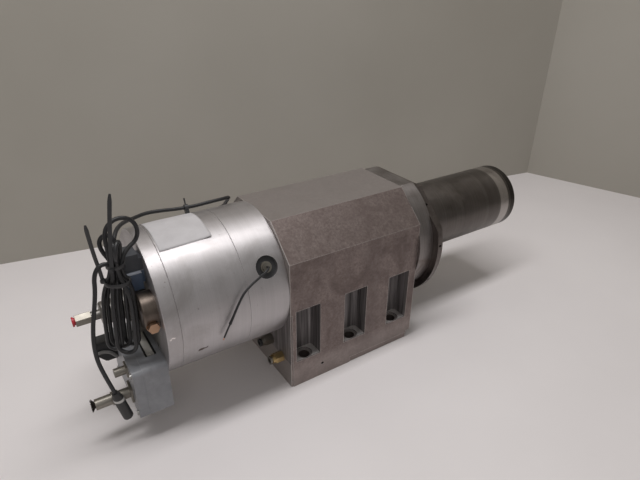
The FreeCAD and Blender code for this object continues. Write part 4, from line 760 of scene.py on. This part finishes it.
def cable_look():
    look, tree, shader = new_look("cable_black", Metallic=0.0)
    cloud = effect(tree, grain, Scale=70.0, Detail=5.0, Roughness=0.6)
    dust = effect(tree, grain, Scale=300.0, Detail=4.0, Roughness=0.7)
    colour = tint(tree, cloud, (0.008, 0.008, 0.009), (0.020, 0.020, 0.022))
    colour = tint(tree, span(tree, dust, 0.6, 0.75, 0.0, 0.3), colour, (0.14, 0.13, 0.12))
    feed(tree, shader, Base_Color=colour, Roughness=span(tree, cloud, 0.3, 0.7, 0.36, 0.50))
    relief(tree, shader, effect(tree, grain, Scale=1200.0, Detail=3.0), 0.1, 0.0001)
    return look


cable_sheath = cable_look()
cable.data.materials.append(cable_sheath)

# Cable ties: two black nylon ties round the hank, one at its neck and one lower. Each has a square head
# and a long tail that was never cut off.
TIE_HALF_WIDTH = 0.0024
TIE_HALF_THICKNESS = 0.0007
TAIL_HALF_THICKNESS = 0.0006
TIE_HEAD_REACH = 0.00315
TIE_HEAD_SIZE = (0.0055, 0.0055, 0.0058)
TIE_HEAD_EDGE = 0.0008
HANK_TURN = -33.5


def make_tie(name, height, half_long, half_short, head_angle, tail):
    """Tie round the hank at a height, its head at an angle and its tail through the given places."""
    bm = bmesh.new()
    centre = hank_place(0, 0, height + 1000 * TIE_HALF_WIDTH)

    def round_hank(turn, reach):
        place = centre + NECK_U * ((half_long + reach) * math.cos(turn))
        return place + NECK_V * ((half_short + reach) * math.sin(turn))

    steps = 48
    ring = [round_hank(2 * math.pi * index / steps, TIE_HALF_THICKNESS) for index in range(steps)]
    sweep_strip(bm, ring, [Vector((0, 0, 1))] * steps, TIE_HALF_WIDTH, TIE_HALF_THICKNESS, closed=True)
    head = round_hank(math.radians(head_angle), TIE_HEAD_REACH)
    turned = Matrix.Translation(head) @ Matrix.Rotation(math.radians(HANK_TURN), 4, "Z")
    block = bmesh.ops.create_cube(bm, size=1.0, matrix=turned @ Matrix.Diagonal((*TIE_HEAD_SIZE, 1)))
    edges = {edge for vert in block["verts"] for edge in vert.link_edges}
    bmesh.ops.bevel(bm, geom=list(edges), offset=TIE_HEAD_EDGE, segments=2, affect="EDGES")
    line = smooth_line([head] + millimetres(tail), 40)
    sweep_strip(bm, line, [NECK_U] * len(line), TIE_HALF_WIDTH, TAIL_HALF_THICKNESS)
    return joined_mesh(name, bm, black_plastic)


tie_low = make_tie("cable_tie_low", 239, 0.01465, 0.01115, 178,
                   ((-345.8, -46.6, 258), (-347.8, -47.4, 277), (-349.4, -48.7, 298), (-350.5, -50.5, 319)))
tie_high = make_tie("cable_tie_high", 262.2, 0.0099, 0.0094, -88,
                    ((-333.6, -68.2, 279), (-330.5, -68.6, 303), (-326.4, -68.8, 330), (-321.5, -68.5, 357)))
for tie in (tie_low, tie_high):
    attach(tie, "housing")
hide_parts("zip_ties")

# Cable plug: round moulded rubber plug on the hanging end, with a white band.


def plug_look():
    band_low, band_high, soft_edge = 0.0775, 0.082, 0.0005
    look, tree, shader = new_look("plug_rubber", Metallic=0.0)
    z_part = parts_of(tree)[2]
    cloud = effect(tree, grain, Scale=90.0, Detail=5.0, Roughness=0.6)
    colour = tint(tree, cloud, (0.014, 0.014, 0.015), (0.045, 0.043, 0.041))
    band = times(tree, span(tree, z_part, band_low, band_low + soft_edge),
                 span(tree, z_part, band_high - soft_edge, band_high, 1.0, 0.0))
    feed(tree, shader, Base_Color=tint(tree, band, colour, (0.52, 0.51, 0.49)),
         Roughness=span(tree, cloud, 0.3, 0.7, 0.42, 0.56))
    relief(tree, shader, effect(tree, grain, Scale=800.0, Detail=3.0), 0.2, 0.0001)
    return look


dress(plug_look(), "cable_plug")
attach(cable, "housing")
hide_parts("cable_run", "cable_loop", "cable_hank", "cable_tail")

# Thin lead: it leaves the silver nipple in a black sleeve, bends over the motor's side and ends bare,
# its copper strands showing. The sleeve stops short of the end.
LEAD_RADIUS = 0.0012
SLEEVE_RADIUS = 0.00165
SLEEVE_FLARE = 0.0004
FLARED_SHARE = 0.15
lead_route = [
    (-146.8, -90.1, 220.0), (-146.8, -95.7, 223.3), (-150.6, -101.5, 224.3), (-157.4, -105.1, 222.2),
    (-167.2, -103.6, 215.3), (-178, -103.5, 209), (-189, -105, 202), (-198, -107, 191),
    (-206, -108.5, 178), (-213, -108.5, 165), (-218.5, -107.5, 154), (-222.4, -106, 144),
]
lead = nurbs_cord("thin_lead", millimetres(lead_route), LEAD_RADIUS)
lead_line = cord_line(lead)
lead.data.materials.append(cable_sheath)
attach(lead, "housing")
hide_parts("lead_wire")


def make_sleeve(line, low_end):
    """Sleeve round the lead from just outside the nipple down to a height, wider at its cut end."""
    first_point, sides = 10, 12
    path = [point for point in line[first_point:] if point.z > low_end]
    bm = bmesh.new()
    rings = []
    for index, point in enumerate(path):
        before, after = path[max(index - 1, 0)], path[min(index + 1, len(path) - 1)]
        along = (after - before).normalized()
        side = along.cross(Vector((0, 0, 1))).normalized()
        other = along.cross(side)
        flared = max(0.0, index / (len(path) - 1) - 1 + FLARED_SHARE) / FLARED_SHARE
        radius = SLEEVE_RADIUS + SLEEVE_FLARE * flared
        turns = [2 * math.pi * corner / sides for corner in range(sides)]
        places = [point + side * (radius * math.cos(turn)) + other * (radius * math.sin(turn))
                  for turn in turns]
        rings.append([bm.verts.new(place) for place in places])
    skin_rings(bm, rings)
    return joined_mesh("lead_sleeve", bm, cable_sheath, 50)


def make_strands(end, along):
    """Six copper strands twisted round a seventh, opening a little towards their ends."""
    strand_radius, lay_radius, bare_length, twist, opening = 0.00016, 0.00045, 0.004, 1.4, 0.5
    data = new_wires("lead_strands", strand_radius, roundness=2)
    side = along.orthogonal().normalized()
    other = along.cross(side)
    for index in range(7):
        turn = 2 * math.pi * index / 6
        out = 0.0 if index == 6 else lay_radius
        points = []
        for share in (-0.2, 0.2, 0.5, 0.8, 1.0):
            bend = turn + twist * share
            offset = side * math.cos(bend) * out + other * math.sin(bend) * out
            points.append(end + along * (bare_length * share) + offset * (1 + opening * max(share, 0)))
        add_wire(data, points)
    return add_object("lead_strands", data)


lead_sleeve = make_sleeve(lead_line, 0.163)
lead_tip = make_strands(lead_line[-1], (lead_line[-1] - lead_line[-2]).normalized())
lead_tip.data.materials.append(moulded_look("copper_wire", (0.75, 0.38, 0.22), 0.28, metallic=1.0, dust=0.1))
for piece in (lead_sleeve, lead_tip):
    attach(piece, "housing")

# Studio: a pale table top that stands against a plain wall, with a second wall at its right end. One
# long soft light hangs overhead, and a weak one fills from the front.


def flat_sheet(name, corners, look):
    mesh = bpy.data.meshes.new(name)
    mesh.from_pydata([Vector(corner) for corner in corners], [], [(0, 1, 2, 3)])
    mesh.materials.append(look)
    sheet = add_object(name, mesh)
    return sheet


def cloudy(tree, shader, scale, first, second):
    """Colour that drifts softly between two shades."""
    cloud = effect(tree, grain, Scale=scale, Detail=4.0, Roughness=0.5)
    feed(tree, shader, Base_Color=tint(tree, span(tree, cloud, 0.3, 0.7), first, second))


def table_look():
    look, tree, shader = new_look("table_top", Metallic=0.0, Roughness=0.38)
    cloudy(tree, shader, 2.2, (0.74, 0.705, 0.705), (0.80, 0.765, 0.765))
    return look


def wall_look():
    """Plain wall that only shows its front, so that it never hides the object from behind."""
    look, tree, shader = new_look("back_wall", Roughness=0.8)
    cloudy(tree, shader, 1.6, (0.35, 0.328, 0.286), (0.40, 0.378, 0.336))
    clear = tree.nodes.new("ShaderNodeBsdfTransparent")
    choice = tree.nodes.new("ShaderNodeMixShader")
    tree.links.new(step(tree, "NewGeometry", out=6), choice.inputs[0])
    tree.links.new(shader.outputs[0], choice.inputs[1])
    tree.links.new(clear.outputs[0], choice.inputs[2])
    tree.links.new(choice.outputs[0], tree.nodes["Material Output"].inputs["Surface"])
    return look


flat_sheet("table_top", ((-4, -4, 0), (4, -4, 0), (4, 4, 0), (-4, 4, 0)), table_look())
wall_paint = wall_look()
CORNER = Vector((1.017, 0.320, 0))
WALL_HEIGHT = Vector((0, 0, 1.6))
BACK_WALL_WAY, BACK_WALL_LENGTH = Vector((-0.9865, 0.1636, 0)), 3.5
SIDE_WALL_WAY, SIDE_WALL_LENGTH = Vector((0.298, -0.954, 0)), 2.0
left_end = CORNER + BACK_WALL_WAY * BACK_WALL_LENGTH
right_end = CORNER + SIDE_WALL_WAY * SIDE_WALL_LENGTH
flat_sheet("back_wall", (left_end, CORNER, CORNER + WALL_HEIGHT, left_end + WALL_HEIGHT), wall_paint)
flat_sheet("side_wall", (CORNER, right_end, right_end + WALL_HEIGHT, CORNER + WALL_HEIGHT), wall_paint)


def area_light(name, place, target, size, energy, colour):
    data = bpy.data.lights.new(name, "AREA")
    data.shape = "RECTANGLE"
    data.size, data.size_y = size
    data.energy = energy
    data.color = colour
    lamp = add_object(name, data)
    lamp.location = place
    lamp.rotation_euler = (Vector(target) - Vector(place)).to_track_quat("-Z", "Y").to_euler()


area_light("ceiling_light", (-0.25, -0.12, 2.0), (-0.25, 0.0, 0.1), (2.0, 0.36), 25, (1.0, 0.985, 0.985))
area_light("fill_light", (-0.9, -1.7, 1.5), (0.0, 0.0, 0.15), (1.6, 1.2), 5, (1.0, 0.98, 0.97))


def studio_world():
    world = bpy.data.worlds.new("studio")
    world.use_nodes = True
    tree = world.node_tree
    tree.nodes.clear()
    output = tree.nodes.new("ShaderNodeOutputWorld")
    plain = tree.nodes.new("ShaderNodeBackground")
    seen = tree.nodes.new("ShaderNodeBackground")
    plain.inputs[0].default_value = (0.95, 0.93, 0.90, 1)
    plain.inputs[1].default_value = 0.22
    seen.inputs[0].default_value = (0.62, 0.60, 0.57, 1)
    choice = tree.nodes.new("ShaderNodeMixShader")
    tree.links.new(tree.nodes.new("ShaderNodeLightPath").outputs["Is Camera Ray"], choice.inputs[0])
    tree.links.new(plain.outputs[0], choice.inputs[1])
    tree.links.new(seen.outputs[0], choice.inputs[2])
    tree.links.new(choice.outputs[0], output.inputs[0])
    bpy.context.scene.world = world


studio_world()
